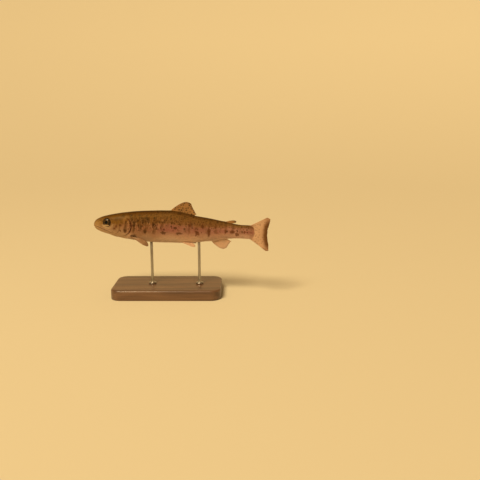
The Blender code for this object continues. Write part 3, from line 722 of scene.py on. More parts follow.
def layBody(rows, folded):
    # the body as a grid of rings and columns. A column starts at the belly, climbs the right side to the
    # ridge half way round, and comes down the left side. A folded one bends its rings to the gill slit.
    tableS, tableW, tableH, tableGirth = crossSections()
    half = skin["columns"] // 2
    f = np.linspace(0, 1, half + 1)
    if folded:
        s, plainS, up, creaseShade = gillRings(rows, f)
    else:
        s = plainS = np.broadcast_to(rows[:, None], (len(rows), half + 1))
        gap = s - through(skin["gillEdge"], f)
        up = -mm * slitOpen(f) * rise(gap / 0.001) * slitDepth(gap)
        creaseShade = np.zeros_like(s)

    def section(at):
        i = np.clip(np.searchsorted(tableS, at) - 1, 0, len(tableS) - 2)
        a = (at - tableS[i]) / (tableS[i + 1] - tableS[i])
        k = np.arange(half + 1)
        return [table[i, k] * (1 - a) + table[i + 1, k] * a for table in (tableW, tableH)]

    w, h = section(s)
    girth = np.interp(s, tableS, tableGirth)
    back, belly = bodySizes(s)[:2]
    coat = skin["coat"] * rise((s - through(skin["scaled"], f)) / 0.006)
    up = up + trunkRelief(s, f + 0 * s, f * girth) - coat
    ahead = s.max(1) < skin["headEnd"] + 0.004
    headUp, headCreaseShade = headRelief(s[ahead], h[ahead], np.broadcast_to(f, s.shape)[ahead])
    up[ahead] += headUp
    creaseShade[ahead] = np.maximum(creaseShade[ahead], headCreaseShade)
    tone = np.where(h >= 0, h / back, h / belly)
    bars, blotch = patterned(s, tone)

    column = np.arange(skin["columns"])
    index = np.abs(half - column)
    side = np.where(column <= half, 1.0, -1.0)

    def wrap(values):
        return values[:, index]

    flatW, flatH = section(plainS)
    flat = place(wrap(plainS), wrap(flatW) * side, wrap(flatH))
    normal = np.cross(np.gradient(flat, axis=0), np.roll(flat, -1, 1) - np.roll(flat, 1, 1))
    normal /= np.linalg.norm(normal, axis=-1, keepdims=True)
    if np.sum(normal * (flat - flat.mean(1, keepdims=True))) < 0:
        normal = -normal
    s, w, h = wrap(s), wrap(w) * side, wrap(h)
    return {
        "s": rows, "girth": np.interp(rows, tableS, tableGirth) * length, "normal": normal,
        "points": place(s, w, h) + normal * wrap(up)[..., None],
        "lie": np.stack([s * length, side * (index / half) * wrap(girth) * length, wrap(tone)], -1),
        "form": np.stack([s, w, h], -1) * length,
        "marksAndCreaseShade": np.stack([wrap(bars), wrap(blotch), wrap(creaseShade)], -1),
    }


def makeSkin(grid):
    # the grid closed by two poles: the front one lies in the mouth's slit, between the sides of its ring
    columns = skin["columns"]
    first, last = grid["points"][0], grid["points"][-1]
    poles = [(first[columns // 4] + first[3 * columns // 4]) / 2, last.mean(0)]

    def whole(values):
        return np.concatenate([values.reshape(-1, 3), [values[0].mean(0), values[-1].mean(0)]])

    points = np.concatenate([grid["points"].reshape(-1, 3), poles])
    makePiece("skin", points, tubeFaces(len(grid["points"]), columns), skinMaterial(), skin["nodes"],
              marks={key: whole(grid[key]) for key in ("lie", "form", "marksAndCreaseShade")})


(tip, tipRings), headEnd, tailEnd = skin["tip"], skin["headEnd"], body["stations"][-1][0]
tipCrowding, headCrowding = skin["crowding"]
tipRows = tip * np.linspace(0, 1, tipRings + 1)[1:] ** tipCrowding
headRows = np.linspace(0, 1, skin["headRings"] - tipRings + 1)[1:] ** headCrowding
headRows = tip + (headEnd - tip) * headRows
trunkRows = np.linspace(headEnd, tailEnd, skin["trunkRings"] + 1)[1:]
makeSkin(layBody(np.concatenate([tipRows, headRows, trunkRows]), True))
print("skin laid")


# The scales: small closed plates in staggered rows that follow the lateral line, each free at its rear edge
scales = {
    "along": 1.20 * mm,
    "across": 0.98 * mm,
    "rows": (-52, 66),  # counted from the lateral line
    "sizes": ((0.15, 0.70), (0.36, 0.98), (0.66, 1.0), (1.03, 0.80)),  # s and share of the full size
    "end": 0.994,
    "corners": 10,  # of a scale's outline
    "reach": (0.78, 0.66),  # half length and half height, in pitches
    "innerRing": 0.55,
    "lift": (-0.04 * mm, 0.08 * mm),  # of the outline over the skin, at the root and at the free edge
    "dome": 0.035 * mm,
    "under": 0.13 * mm,
    "unevenness": 0.05,
    "seed": 7,
    "spill": 0.30,  # how far a scale's home may lie past the ridge or the belly, in pitches
    "patch": 0.003,  # of the map, for each scale
    "split": 0.53,  # where the rear half of the coat begins
    "bed": (0.12, 0.30),  # the rings that scales lie on: where they start, and where they widen
    "bedRings": (120, 301),  # before and after that
}


def onSkin(grid, s, arc, lift):
    # places on the laid skin: bilinear between its rings and columns, then out along its normal. The
    # arc is from the ridge, positive on the right, and may run past the ridge or the belly.
    row = np.clip(np.interp(s, grid["s"], np.arange(len(grid["s"]))), 0, len(grid["s"]) - 1.001)
    girth = np.interp(s, grid["s"], grid["girth"])
    column = (0.5 - 0.5 * arc / girth) * skin["columns"]
    i, j = row.astype(int), np.floor(column).astype(int)
    a, b = (row - i)[..., None], (column - j)[..., None]
    j0, j1 = j % skin["columns"], (j + 1) % skin["columns"]

    def read(values):
        return (values[i, j0] * (1 - a) * (1 - b) + values[i, j1] * (1 - a) * b
                + values[i + 1, j0] * a * (1 - b) + values[i + 1, j1] * a * b)

    normal = read(grid["normal"])
    normal /= np.linalg.norm(normal, axis=-1, keepdims=True)
    lie = np.stack([s * length, arc, read(grid["lie"][..., 2:])[..., 0]], -1)
    return {"points": read(grid["points"]) + normal * lift[..., None], "lie": lie,
            "form": read(grid["form"]), "marksAndCreaseShade": read(grid["marksAndCreaseShade"])}


def scalePlate():
    # a plate of two rings of corners and a pole above and below them: x and y in pitches, z, the share
    # from root to free edge, the share outwards, and its faces
    count, inner = scales["corners"], scales["innerRing"]
    turn = np.arange(count) * 2 * math.pi / count
    outward = np.concatenate([np.ones(count), np.full(count, inner), [0.0, 0.0]])
    spread = np.append(np.tile(np.cos(turn), 2), [0, 0]) * outward
    x = scales["reach"][0] * spread
    y = scales["reach"][1] * np.append(np.tile(np.sin(turn), 2), [0, 0]) * outward
    rootToEdge = 0.5 + 0.5 * spread
    low, high = scales["lift"]
    z = low + (high - low) * rootToEdge**1.5
    z[count:2 * count] += scales["dome"] * 0.8
    z[-2:] += (scales["dome"], -scales["under"])
    k = np.arange(count)
    n = (k + 1) % count
    quads = np.stack([k, n, n + count, k + count], -1)
    top, bottom = np.full((2, count), [[2 * count], [2 * count + 1]])
    ends = np.concatenate([np.stack([k + count, n + count, top], -1), np.stack([n, k, bottom], -1)])
    return x, y, z, rootToEdge, outward, (quads, ends)


def layScales(grid):
    # steps q along the body and k around it, in pitches that shrink towards the nape and the tail
    sizes = np.array(scales["sizes"]).T
    s = np.linspace(0.1, skin["scaled"][0][1] + 1.0, 1200)
    size = np.interp(s, *sizes)
    q = np.append(0, np.cumsum(np.diff(s) * length / (scales["along"] * (size[1:] + size[:-1]) / 2)))
    columns, rows = np.meshgrid(np.arange(int(q[-1])), np.arange(*scales["rows"]), indexing="ij")
    rng = np.random.default_rng(scales["seed"])
    uneven = scales["unevenness"]
    jitter = rng.normal(0, uneven, (*columns.shape, 4)).clip(-2 * uneven, 2 * uneven)
    homeQ = (columns + 0.5 * (rows % 2) + jitter[..., 0]).ravel()
    homeK = (rows + jitter[..., 1]).ravel()
    grow = 1 + 0.8 * jitter[..., 2].ravel()
    tint = rng.random(homeQ.size) - 0.55 * (np.abs(homeK) < 0.3)  # the lateral line's own row is darker

    def where(q0, k0):
        # s, the arc from the ridge, the body's girth and the pitch across
        at = np.interp(q0, q, s)
        girth = np.interp(at, grid["s"], grid["girth"])
        pitch = scales["across"] * np.interp(at, *sizes)
        return at, skin["lateralLine"] * girth + k0 * pitch, girth, pitch

    at, arc, girth, pitch = where(homeQ, homeK)
    share = np.clip(arc / girth, 0, 1)
    start = through(skin["scaled"], share)
    end = scales["end"] + 0.016 * np.sin(math.pi * share) + 0.003 * np.sin(11 * share + 1)
    spill = scales["spill"] * pitch
    kept = (arc > -spill) & (arc < girth + spill) & (at > start) & (at < end)
    values = (homeQ, homeK, grow, tint, start, at, end)
    homeQ, homeK, grow, tint, start, at, end = (v[kept, None] for v in values)

    # the first and last scales are smaller and lie flatter
    grow = grow * (0.90 + 0.10 * np.clip((at - start) / 0.02, 0, 1))
    flatter = 0.25 + 0.75 * np.clip(np.minimum((at - start) / 0.035, (end - at) / 0.022), 0, 1)
    x, y, z, rootToEdge, outward, faces = scalePlate()
    corners = len(x)
    halfPatch = scales["patch"] / 2
    rootS, rootArc, rootGirth, _ = where(homeQ, homeK)
    atS, atArc = where(homeQ + x * grow, homeK + y * grow)[:2]
    own = np.stack(np.broadcast_arrays(tint, rootToEdge, outward), -1)
    material = scaleMaterial()
    for sideName, side in (("right", 1), ("left", -1)):
        laid = onSkin(grid, atS, side * atArc, z * grow * flatter)
        patchU = 0.05 + 0.9 * rootS + x / scales["reach"][0] * halfPatch
        patchV = (0.5 - 0.5 * side * rootArc / rootGirth) * 0.96 + 0.02 + y / scales["reach"][1] * halfPatch
        laid.update(scale=own, patch=np.stack([patchU, patchV], -1))
        front = rootS[:, 0] < scales["split"]
        for halfName, chosen in (("front", front), ("rear", ~front)):
            picked = {key: values[chosen].reshape(-1, values.shape[-1]) for key, values in laid.items()}
            first = (np.arange(chosen.sum()) * corners)[:, None, None]
            numbers = [(first + f).reshape(-1, f.shape[1]) for f in faces]
            patch = picked.pop("patch")
            makePiece(f"scales_{sideName}_{halfName}", picked.pop("points"), numbers, material,
                      uv=[patch[f] for f in numbers], marks=picked)


frontRows = np.linspace(*scales["bed"], scales["bedRings"][0])
rearRows = np.linspace(scales["bed"][1], tailEnd, scales["bedRings"][1])[1:]
layScales(layBody(np.append(frontRows, rearRows), False))
print("scales laid")


# The fins: closed blades whose rays branch towards the edge and stand a little over the membrane. A base
# runs from the first ray to the last, as s and h or s, w and h; lean is in degrees from the body's axis,
# and profile gives the rays' lengths as shares of the longest.
fins = {
    "dorsal": {
        "base": ((0.478, 0.098), (0.618, 0.0760)), "lean": (55, 28), "longest": 0.106, "rays": 13,
        "profile": (0.22, 0.56, 0.83, 0.96, 1.00, 0.97, 0.87, 0.76, 0.66, 0.57, 0.48, 0.40, 0.32),
        "thickness": 0.0018, "root": (0.250, 0.138, 0.044), "mid": (0.300, 0.155, 0.055),
        "edge": (0.340, 0.180, 0.070), "ray": (0.170, 0.080, 0.024), "dark": (0.034, 0.016, 0.005),
        "spots": 0.92, "band": (0.8, 0.98), "trim": 0.30, "clear": 0.90, "wave": 0.35, "mottle": 1.5,
    },
    "adipose": {
        "base": ((0.826, 0.050), (0.858, 0.044)), "lean": (30, 14), "longest": 0.058, "rays": 0,
        "profile": (0.30, 0.62, 0.86, 0.98, 1.00, 0.93, 0.72),
        "thickness": 0.0022, "root": (0.160, 0.075, 0.018), "mid": (0.26, 0.128, 0.046),
        "edge": (0.24, 0.115, 0.040), "ray": (0.200, 0.120, 0.070), "dark": (0.050, 0.026, 0.010),
        "band": (0.7, 0.95), "trim": 0.75, "clear": 1.0, "wave": 0.0,
    },
    "anal": {
        "base": ((0.742, -0.064), (0.836, -0.048)), "lean": (-50, -24), "longest": 0.088, "rays": 12,
        "profile": (0.40, 0.80, 0.97, 1.00, 0.95, 0.85, 0.75, 0.66, 0.58, 0.52),
        "thickness": 0.0017, "root": (0.50, 0.300, 0.185), "mid": (0.58, 0.360, 0.230),
        "edge": (0.66, 0.440, 0.300), "ray": (0.290, 0.165, 0.105), "dark": (0.085, 0.050, 0.035),
        "band": (0.78, 0.98), "trim": 0.30, "clear": 0.66, "wave": 0.30,
    },
    "caudal": {
        "base": ((0.985, 0.0390), (0.985, -0.0365)), "lean": (30, -30), "longest": 0.155, "rays": 19,
        "profile": (0.88, 1.00, 0.985, 0.94, 0.895, 0.86, 0.835, 0.82, 0.815, 0.82, 0.835, 0.86, 0.895,
                    0.94, 0.985, 1.00, 0.88),
        "thickness": 0.0024, "root": (0.270, 0.125, 0.075), "mid": (0.54, 0.350, 0.220),
        "edge": (0.36, 0.180, 0.085), "ray": (0.340, 0.170, 0.085), "dark": (0.085, 0.030, 0.005),
        "spots": 0.38, "band": (0.66, 0.90), "trim": 0.92, "corners": 0.30, "clear": 0.92, "wave": 0.40,
    },
    "pectoral": {
        "base": ((0.229, 0.037, -0.058), (0.251, 0.028, -0.065)), "along": (0.95, 0.24, -0.16),
        "out": (0.10, 0.78, -0.62), "lean": (18, -6), "longest": 0.140, "cup": -0.08, "rays": 14,
        "profile": (0.80, 0.97, 1.00, 0.97, 0.91, 0.84, 0.76, 0.67, 0.58, 0.48),
        "thickness": 0.0016, "root": (0.170, 0.078, 0.026), "mid": (0.245, 0.130, 0.060),
        "edge": (0.280, 0.155, 0.080), "ray": (0.180, 0.100, 0.048), "dark": (0.080, 0.046, 0.024),
        "band": (0.75, 0.98), "trim": 0.30, "clear": 0.80, "wave": 0.25,
    },
    "pelvic": {
        "base": ((0.541, 0.024, -0.080), (0.565, 0.014, -0.083)), "along": (0.97, 0.16, -0.07),
        "out": (0.05, 0.70, -0.70), "lean": (16, -2), "longest": 0.108, "cup": -0.05, "rays": 10,
        "profile": (0.84, 0.98, 1.00, 0.96, 0.89, 0.80, 0.70, 0.60),
        "thickness": 0.0014, "root": (0.52, 0.320, 0.200), "mid": (0.56, 0.340, 0.215),
        "edge": (0.64, 0.420, 0.280), "ray": (0.290, 0.165, 0.100), "dark": (0.110, 0.065, 0.040),
        "band": (0.8, 0.99), "trim": 0.12, "clear": 0.74, "wave": 0.20,
    },
}
usual = {"spots": 0.0, "corners": 1.0, "mottle": 0.5}  # for the fins that don't say
blade = {"steps": 46, "perRay": 9, "membrane": 0.085 * mm, "rayHeight": 0.13 * mm, "thinning": 1.4,
         "forks": ((0.58, 0.14, 0.22), (0.84, 0.07, 0.11))}  # where a ray splits, how softly, how wide


def finMaterial(name, look):
    material, tree, shader = newMaterial("trout_fin_" + name, Coat_Weight=0.10, Coat_Roughness=0.3,
                                         Specular_IOR_Level=0.3, Specular_Tint=(1.0, 0.74, 0.46, 1.0))
    across, along, ray = parts(attribute(tree, "fin"))
    space = objectSpace(tree)
    cloud = noise(space, 160, 3) - 0.5
    u = along + cloud * 0.16
    colour = blend(u.ease(0.02, 0.30), look["root"], look["mid"])
    corner = abs(across / (look["rays"] or 1) - 0.5).ease(0.28, 0.48, 1.0, look["corners"])
    colour = blend(u.ease(0.55, 1.0) * corner, colour, look["edge"])
    colour = blend(ray * 0.45, colour, look["ray"])
    # ray joints: short dark ticks across the rays
    joint = (along * 26).calc("PINGPONG", 0.5).ease(0.12, 0.0) * ray * along.ease(0.25, 0.5) * 0.35
    colour = blend(joint, colour, look["dark"])
    colour = blend(u.ease(*look["band"]) * corner * look["trim"], colour, look["dark"])
    if look["spots"]:
        x, _, z = parts(attribute(tree, "form"))
        flat = ruffled(add(tree, "CombineXYZ", {0: x, 1: z * 1.15}), space, 500, 2.0, 0.0009)
        distance, tint = cellsIn(flat, 290, 0.85)
        first, second, _ = parts(tint)
        spot = (distance / (first * 0.14 + 0.24)).ease(1.2, 0.6) * second.ease(0.25, 0.32)
        colour = blend(spot * look["spots"], colour, look["dark"])
    plug(shader, {"Base Color": dim(colour, cloud * look["mottle"] + 1.0), "Roughness": cloud * 0.2 + 0.36,
                  "Normal": bump(noise(space, 1500), 0.2, 0.1 * mm)})
    if look["clear"] < 1:
        solid = ray.calc("MAXIMUM", along.ease(0.30, 0.06))
        plug(shader, {"Alpha": solid.ease(0.0, 0.9, look["clear"], 1.0)})
    return material


def finCentre(look, t, u, side):
    # the blade's middle surface: rays from the base, each with its own lean and length. Also returns the
    # place on the straightened body that the spots follow; a paired fin, which has none, has its own.
    lean = np.radians(look["lean"][0] + (look["lean"][1] - look["lean"][0]) * t)
    profile = look["profile"]
    reach = look["longest"] * through(list(zip(np.linspace(0, 1, len(profile)), profile)), t)
    if look["rays"]:
        beat = np.cos(2 * math.pi * (t * look["rays"]))
        reach = reach * (1 - 0.0045 * (1 + beat) * (1 + np.sin(t * 23)) - 0.006 * np.sin(t * 37 + 1))
    wave = look["wave"] * mm / length * u**2
    start, end = np.array(look["base"])
    if "along" not in look:
        s = start[0] + (end[0] - start[0]) * t + reach * np.cos(lean) * u
        h = start[1] + (end[1] - start[1]) * t + reach * np.sin(lean) * u
        return place(s, wave * np.sin(t * 9 + 1.5 * u), h), np.stack([s, 0 * s, h], -1) * length
    start, end = (place(s, side * w, h) for s, w, h in look["base"])
    along = np.array(look["along"]) / np.linalg.norm(look["along"])
    out = np.array(look["out"]) - along * np.dot(look["out"], along)
    out = out / np.linalg.norm(out)
    step = (np.cos(lean)[..., None] * along + np.sin(lean)[..., None] * out) * (reach * u)[..., None]
    bow = look["cup"] * reach * u**2 + wave * np.sin(t * 8 + 2 * u)
    step = (step + np.cross(along, out) * bow[..., None]) * (1, side, 1)
    points = start + (end - start) * t[..., None] + turnUp(step * length)
    return points, np.stack([t * 0.02, 0 * t, u * 0.03], -1)


def finThickness(look, t, u):
    # half the blade's thickness, rounded off at its rim, and the rays' height: one peak for each ray at
    # the root that splits in two and then in four on the way out
    rays = look["rays"]
    fleshy = look["thickness"] / 2 * (1 - u) ** blade["thinning"]
    if rays:
        first, second = (wide * rise((u - at) / soft) for at, soft, wide in blade["forks"])
        beat = (t * rays) % 1 - 0.5
        peaks = [beat - a * first - b * second for a in (-1, 1) for b in (-1, 1)]
        ray = np.max([hump(peak / (0.20 - 0.08 * u)) for peak in peaks], axis=0)
        thick = 0.55 * fleshy * (0.75 + 0.25 * ray) + blade["membrane"]
        thick += blade["rayHeight"] * ray * (1 - 0.55 * u)
        thick += 0.16 * mm * hump((t - 0.6 / rays) / (0.6 / rays)) * (1 - 0.8 * u)
    else:
        ray = 0 * u
        thick = 0.8 * fleshy + 0.30 * mm
    rim = np.clip(np.minimum(t, 1 - t) * 2 * (rays or 5), 0, 1)
    return thick * np.sqrt(rim * (2 - rim)) * np.sqrt(np.clip((1 - u) * (30 if rays else 6), 0, 1)), ray


def makeFin(name, look, side):
    # a blade closed round a middle surface: each row but the last is a loop over its top and back along
    # its bottom, and the last, at the fin's edge, is a single line
    rays = look["rays"]
    inner = np.linspace(0, 1, (rays or 5) * blade["perRay"] + 1)
    ends = np.array([0, 0.10, 0.4]) * inner[1]
    t = np.concatenate([ends, inner[1:-1], 1 - ends[::-1]])
    t, u = np.meshgrid(t, np.linspace(0, 1, blade["steps"]))
    centre, form = finCentre(look, t, u, side)
    normal = np.cross(np.gradient(centre, axis=0), np.gradient(centre, axis=1))
    normal /= np.linalg.norm(normal, axis=-1, keepdims=True) + 1e-12
    thick, ray = finThickness(look, t, u)
    step = normal * thick[..., None]

    def loops(top, bottom):
        return np.concatenate([np.concatenate([top[:-1], bottom[:-1, -2:0:-1]], 1).reshape(-1, 3), top[-1]])

    rows, across = t.shape
    around = 2 * across - 2
    lastRow, line = (rows - 2) * around, (rows - 1) * around
    k = np.arange(across - 1)
    back = (around - k) % around
    nextBack = around - k - 1
    root = slice(1, across - 2)
    faces = [gridFaces(rows - 1, around, closed=True),
             np.stack([lastRow + k, lastRow + k + 1, line + k + 1, line + k], -1),
             np.stack([line + k, line + k + 1, lastRow + nextBack, lastRow + back], -1),
             np.stack([back[root], nextBack[root], k[root] + 1, k[root]], -1)]
    rootEnds = np.array([[0, around - 1, 1], [across - 2, across, across - 1]])
    word = {0: "", 1: "_right", -1: "_left"}[side]
    own = np.stack([t * max(rays, 1), u, ray], -1)
    points = loops(centre + step, centre - step)
    makePiece(f"fin_{name}{word}_skin", points, [np.concatenate(faces), rootEnds], look["material"],
              [f"fin_{name}{word}"], marks={"fin": loops(own, own), "form": loops(form, form)})


for name, given in fins.items():
    look = {**usual, **given}
    look["material"] = finMaterial(name, look)
    for side in ((-1, 1) if "along" in look else (0,)):
        makeFin(name, look, side)
print("fins made")


# The eyes: flattened balls with an iris laid in rings round a pupil, under a clear wet coat
black = (0.001, 0.001, 0.001)
gaze = {
    "rings": [(0.0, black), (0.375, black), (0.405, (0.30, 0.160, 0.040)), (0.435, (0.105, 0.052, 0.012)),
              (0.62, (0.068, 0.034, 0.007)), (0.76, (0.044, 0.022, 0.005)), (0.86, (0.008, 0.005, 0.002)),
              (1.0, (0.005, 0.003, 0.002))],
    "fibres": (0.11, 0.056, 0.014),
    "top": (0.020, 0.013, 0.006),
    "bar": (0.016, 0.009, 0.004),
    # painted light: the colour of light catching the iris's lower rim
    "litCrescent": (0.58, 0.40, 0.21),
}


def eyeMaterial():
    material, tree, shader = newMaterial("trout_eye", Roughness=0.42, Coat_Weight=0.60, Coat_Roughness=0.015,
                                         Coat_IOR=1.34, Specular_IOR_Level=0.06)
    own = attribute(tree, "iris")
    _, up, r = parts(own)
    cloud = noise(objectSpace(tree), 900, 3) - 0.5
    fibres = noise(own, 26, 3)
    cloudy = up + cloud * 0.2
    ringed = r.ease(0.40, 0.47)
    gold = ramp(r + cloud * 0.10, gaze["rings"])
    gold = blend(ringed * fibres.ease(0.35, 0.75) * 0.35, gold, gaze["fibres"])
    gold = blend(cloudy.ease(0.02, 0.42) * ringed * 0.80, gold, gaze["top"])
    gold = blend(abs(up + 0.11).ease(0.40, 0.20) * ringed * 0.85, gold, gaze["bar"])
    # painted light: a pale crescent on the lower rim of the iris, where light catches it
    gold = blend(cloudy.ease(-0.44, -0.62) * ringed * r.ease(0.90, 0.82) * 0.88, gold, gaze["litCrescent"])
    gold = blend(r.ease(0.402, 0.382), gold, black)
    # under the smooth clear coat the pupil is a dish and the iris a swelling ring with fibres
    dish = r.ease(0.36, 0.44) - r.ease(0.50, 0.84, 0.0, 0.6)
    plug(shader, {"Base Color": gold, "Metallic": ringed * 0.25,
                  "Normal": bump(dish + fibres * 0.18, 0.8, 0.5 * mm)})
    return material


def makeEye(side, material):
    # a flattened ball whose pole faces outward: sines and cosines of an angle from the pole and a turn
    angle = np.linspace(0, math.pi, eye["rings"] + 1)[1:-1, None]
    turn = np.linspace(0, 2 * math.pi, eye["columns"], endpoint=False)[None, :]
    r = np.sin(angle) + 0 * turn
    x, y, z = r * np.cos(turn), r * np.sin(turn), np.cos(angle) + 0 * turn
    # the pupil is drawn to a blunt point at the front, towards -x
    pear = np.hypot(x + 0.03, y) * (1 - 0.10 * np.clip(-x / (r + 1e-6), 0, 1) ** 3)
    own = np.stack([x, y, np.where(angle < math.pi / 2, pear, 1.0)], -1).reshape(-1, 3)
    ball = np.concatenate([np.stack([x, y, z], -1).reshape(-1, 3), [[0, 0, 1], [0, 0, -1]]])
    ball = ball * (eye["radius"], eye["radius"], eye["depth"]) * length

    # the pole looks out sideways, a little up by the tilt and a little forward by the toe-in
    cosTilt, sinTilt = math.cos(eye["tilt"]), math.sin(eye["tilt"])
    cosToe, sinToe = math.cos(eye["toeIn"]), math.sin(eye["toeIn"])
    outward = np.array([-sinToe * cosTilt, side * cosToe * cosTilt, sinTilt])
    upward = np.array([sinToe * sinTilt, -side * cosToe * sinTilt, cosTilt])
    axes = np.stack([np.cross(outward, upward) * side, upward, outward])
    word = "right" if side > 0 else "left"
    makePiece(f"eye_{word}_ball", place(eye["s"], side * eye["w"], eye["h"]) + turnUp(ball @ axes),
              tubeFaces(*r.shape), material, [f"eye_{word}"],
              marks={"iris": np.concatenate([own, [[0, 0, 0], [0, 0, 1]]])})


wetGold = eyeMaterial()
for side in (-1, 1):
    makeEye(side, wetGold)
print("eyes made")


# The stand: a wooden base with rounded corners, and two turned metal rods that end inside the belly
stand = {
    "size": (0.150, 0.076, 0.014), "corner": 0.014, "round": 0.0022, "leastCorner": 0.0015,
    "foot": ((0.0012, 0.0), (0.0003, 0.0003), (0.0, 0.0011), (0.0, 0.005)),  # insets and heights low down
    "innermost": 0.004, "flatRings": 8, "bendSteps": 9, "cornerSteps": 11,
    "rods": {"front": 0.365, "rear": 0.670}, "rodSteps": 48,
    "rodRadius": 0.0019, "collar": 0.0026, "flange": 0.0052, "flangeHeight": 0.0016, "gap": 0.0003,
    "lip": 0.0004, "socket": 0.006,
    # outlines as steps from the rod's or the collar's radius, and heights over the flange
    "neck": ((0.0, 0.0030), (0.00012, 0.0020)), "shoulder": ((-0.0003, 0.0006), (0.0, 0.0001)),
    "walnut": [(0.25, (0.048, 0.022, 0.011)), (0.50, (0.095, 0.044, 0.020)),
               (0.65, (0.140, 0.068, 0.031)), (0.85, (0.185, 0.096, 0.047))],
    "steel": ((0.36, 0.33, 0.29), (0.50, 0.47, 0.42)),
}


def woodMaterial():
    # walnut: long streaks along the base, rings cut on the slant, and fine dark pores
    material, tree, shader = newMaterial("stand_walnut", Coat_Weight=0.35, Coat_Roughness=0.18)
    space = objectSpace(tree)
    moved = add(tree, "VectorMath", {0: space, 1: (0.02, 0.05, 0.05)}, operation="ADD")
    warped = dim(moved, noise(space, 14, 3, (0.6, 1.6, 1.6)) * 0.5 + 1.0)
    fine = noise(space, 520, 3, (0.035, 1.0, 1.0))
    tone = noise(warped, 60, 4, (0.10, 1.6, 1.2)) * 0.85 + fine * 0.30
    plug(shader, {"Base Color": ramp(tone, stand["walnut"]), "Roughness": fine * 0.25 + 0.30,
                  "Normal": bump(fine, 0.25, 0.2 * mm)})
    return material


def metalMaterial():
    material, tree, shader = newMaterial("stand_steel", Metallic=1.0)
    brushed = noise(objectSpace(tree), 1800, stretch=(1.0, 1.0, 0.05))
    plug(shader, {"Base Color": blend(brushed, *stand["steel"]), "Roughness": brushed * 0.22 + 0.24,
                  "Normal": bump(brushed, 0.15, 0.1 * mm)})
    return material


def makeBase(material):
    # rings of one rounded rectangle, drawn in by an amount: out along the bottom, up the side, over the
    # rounded edge and in along the top
    width, depth, height = stand["size"]
    corner, edge, least = stand["corner"], stand["round"], stand["leastCorner"]
    flat, steps = stand["flatRings"], stand["cornerSteps"]
    footInsets, footHeights = np.array(stand["foot"]).T
    bend = np.linspace(0, math.pi / 2, stand["bendSteps"])
    inward = edge + (depth / 2 - edge - stand["innermost"]) * np.arange(1, flat + 1) / flat
    insets = np.concatenate([inward[::-1], footInsets, edge * (1 - np.cos(bend)), inward])[:, None]
    heights = np.concatenate([np.zeros(flat), footHeights, height - edge + edge * np.sin(bend),
                              np.full(flat, height)])[:, None]
    turn = np.concatenate([np.linspace(0, math.pi / 2, steps) + q * math.pi / 2 for q in range(4)])
    r = np.minimum(np.maximum(corner - insets, least + 0.2 * (depth / 2 - insets - least)), corner)
    x = np.repeat([1, -1, -1, 1], steps) * (width / 2 - insets - r) + r * np.cos(turn)
    y = np.repeat([1, 1, -1, -1], steps) * (depth / 2 - insets - r) + r * np.sin(turn)
    points = np.stack([x, y, heights + 0 * x], -1)
    makePiece("stand_base_wood", np.concatenate([points.reshape(-1, 3), [[0, 0, 0], [0, 0, height]]]),
              tubeFaces(*x.shape), material, ["stand_base"])


def makeRod(name, s, material):
    # a profile (radius, height) turned about the rod's own upright axis
    x, y, z = place(s, 0.0, -bodySizes(s)[1])
    tip, foot = z + stand["socket"], stand["size"][2] + stand["gap"]
    top = foot + stand["flangeHeight"]
    r, f, c, lip = (stand[key] for key in ("rodRadius", "flange", "collar", "lip"))
    profile = [(r - lip / 2, tip), (r, tip - lip / 2)]
    profile += [(r + wider, top + over) for wider, over in stand["neck"]]
    profile += [(c + wider, top + over) for wider, over in stand["shoulder"]]
    profile += [(f - lip, top), (f - lip * 0.3, top - lip * 0.3), (f, top - lip)]
    profile += [(f, foot + lip / 2), (f - lip / 2, foot)]
    turn = np.linspace(0, 2 * math.pi, stand["rodSteps"], endpoint=False)
    radii, heights = np.array(profile).T[..., None]
    points = np.stack([x + radii * np.cos(turn), y + radii * np.sin(turn), heights + 0 * turn], -1)
    ends = [[x, y, tip], [x, y, foot]]
    makePiece(f"stand_rod_{name}_steel", np.concatenate([points.reshape(-1, 3), ends]),
              tubeFaces(*points.shape[:2]), material, [f"stand_rod_{name}"])


makeBase(woodMaterial())
steel = metalMaterial()
for name, s in stand["rods"].items():
    makeRod(name, s, steel)
print("stand made")


# The studio: a pale warm floor that rises far off, a soft key light, a broad sun and an even sky
studio = {
    "floor": (0.67, 0.615, 0.450),
    "flat": 1.3,
    "bend": 9.5,
    "slope": math.radians(25),
    "rim": 16.0,
    "innerRings": (0.5, 0.9),
    "bendSteps": 33,
    "sectors": 96,
    "sky": (1.0, 0.60, 0.28),
    "skyPower": 0.28,
    "sun": {"location": (-0.5, -0.9, 1.5), "energy": 3.1, "angle": math.radians(26),
            "color": (1.0, 0.77, 0.46)},
    "key": {"location": (-0.55, -0.75, 1.15), "energy": 3.5, "size": 0.45, "color": (1.0, 0.82, 0.52)},
    "lightAim": (0.0, 0.0, 0.09),
    "aim": (0.101, 0.0, 0.076),
    "azimuth": 0.0,
    "elevation": 12.5,
    "distance": 0.829,
    "lens": 45.0,
    "sensor": 36,
}


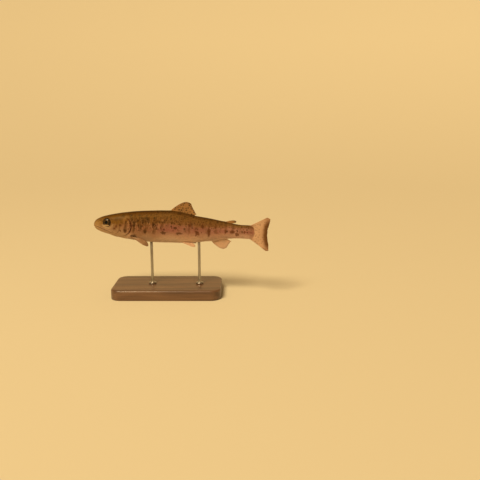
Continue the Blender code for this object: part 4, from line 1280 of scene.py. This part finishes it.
def makeFloor():
    # a flat disc that bends up, far off, into an even slope all round, so that no horizon shows
    slope, bendRadius, rim = studio["slope"], studio["bend"], studio["rim"]
    inner = studio["innerRings"]
    bend = np.linspace(0, slope, studio["bendSteps"])
    r = studio["flat"] + bendRadius * np.sin(bend)
    z = bendRadius * (1 - np.cos(bend))
    z = np.concatenate([np.zeros(len(inner)), z, [z[-1] + (rim - r[-1]) * math.tan(slope)]])
    r = np.concatenate([inner, r, [rim]])
    turn = np.linspace(0, 2 * math.pi, studio["sectors"], endpoint=False)
    points = np.stack([r[:, None] * np.cos(turn), r[:, None] * np.sin(turn), z[:, None] + 0 * turn], -1)
    quads = gridFaces(len(r), len(turn), closed=True)
    mesh = bpy.data.meshes.new("floor")
    mesh.from_pydata([(0, 0, 0), *points.reshape(-1, 3).tolist()], [],
                     fanFaces(0, 1 + np.arange(len(turn))).tolist() + (1 + quads[:, ::-1]).tolist())
    mesh.polygons.foreach_set("use_smooth", np.full(len(mesh.polygons), True))
    material, _, shader = newMaterial("floor_paint", Roughness=0.85, Specular_IOR_Level=0.15)
    plug(shader, {"Base Color": (*studio["floor"], 1)})
    mesh.materials.append(material)
    newObject("floor", mesh)


def towards(thing, target):
    # turns a lamp or the camera, which look along their own -Z, to face the target
    away = np.array(thing.location) - np.array(target)
    flat = math.hypot(away[0], away[1])
    thing.rotation_euler = (math.atan2(flat, away[2]), 0, math.atan2(away[1], away[0]) + math.pi / 2)


def makeLight(name, kind, location, **settings):
    light = bpy.data.lights.new(name, kind)
    for key, value in settings.items():
        setattr(light, key, value)
    lamp = newObject(name, light)
    lamp.location = location
    towards(lamp, studio["lightAim"])


def makeCamera():
    lens = bpy.data.cameras.new("camera")
    lens.lens = studio["lens"]
    lens.sensor_width = studio["sensor"]
    camera = newObject("camera", lens)
    az, el = math.radians(studio["azimuth"]), math.radians(studio["elevation"])
    away = np.array([-math.sin(az) * math.cos(el), -math.cos(az) * math.cos(el), math.sin(el)])
    camera.location = np.array(studio["aim"]) + away * studio["distance"]
    towards(camera, studio["aim"])
    bpy.context.scene.camera = camera


makeFloor()
makeLight("key", "AREA", shape="DISK", **studio["key"])
makeLight("sun", "SUN", **studio["sun"])
world = bpy.data.worlds.new("studio")
world.use_nodes = True
plug(world.node_tree.nodes["Background"], {"Color": (*studio["sky"], 1), "Strength": studio["skyPower"]})
bpy.context.scene.world = world
makeCamera()
bpy.context.scene.view_settings.view_transform = "Standard"
print("studio set")
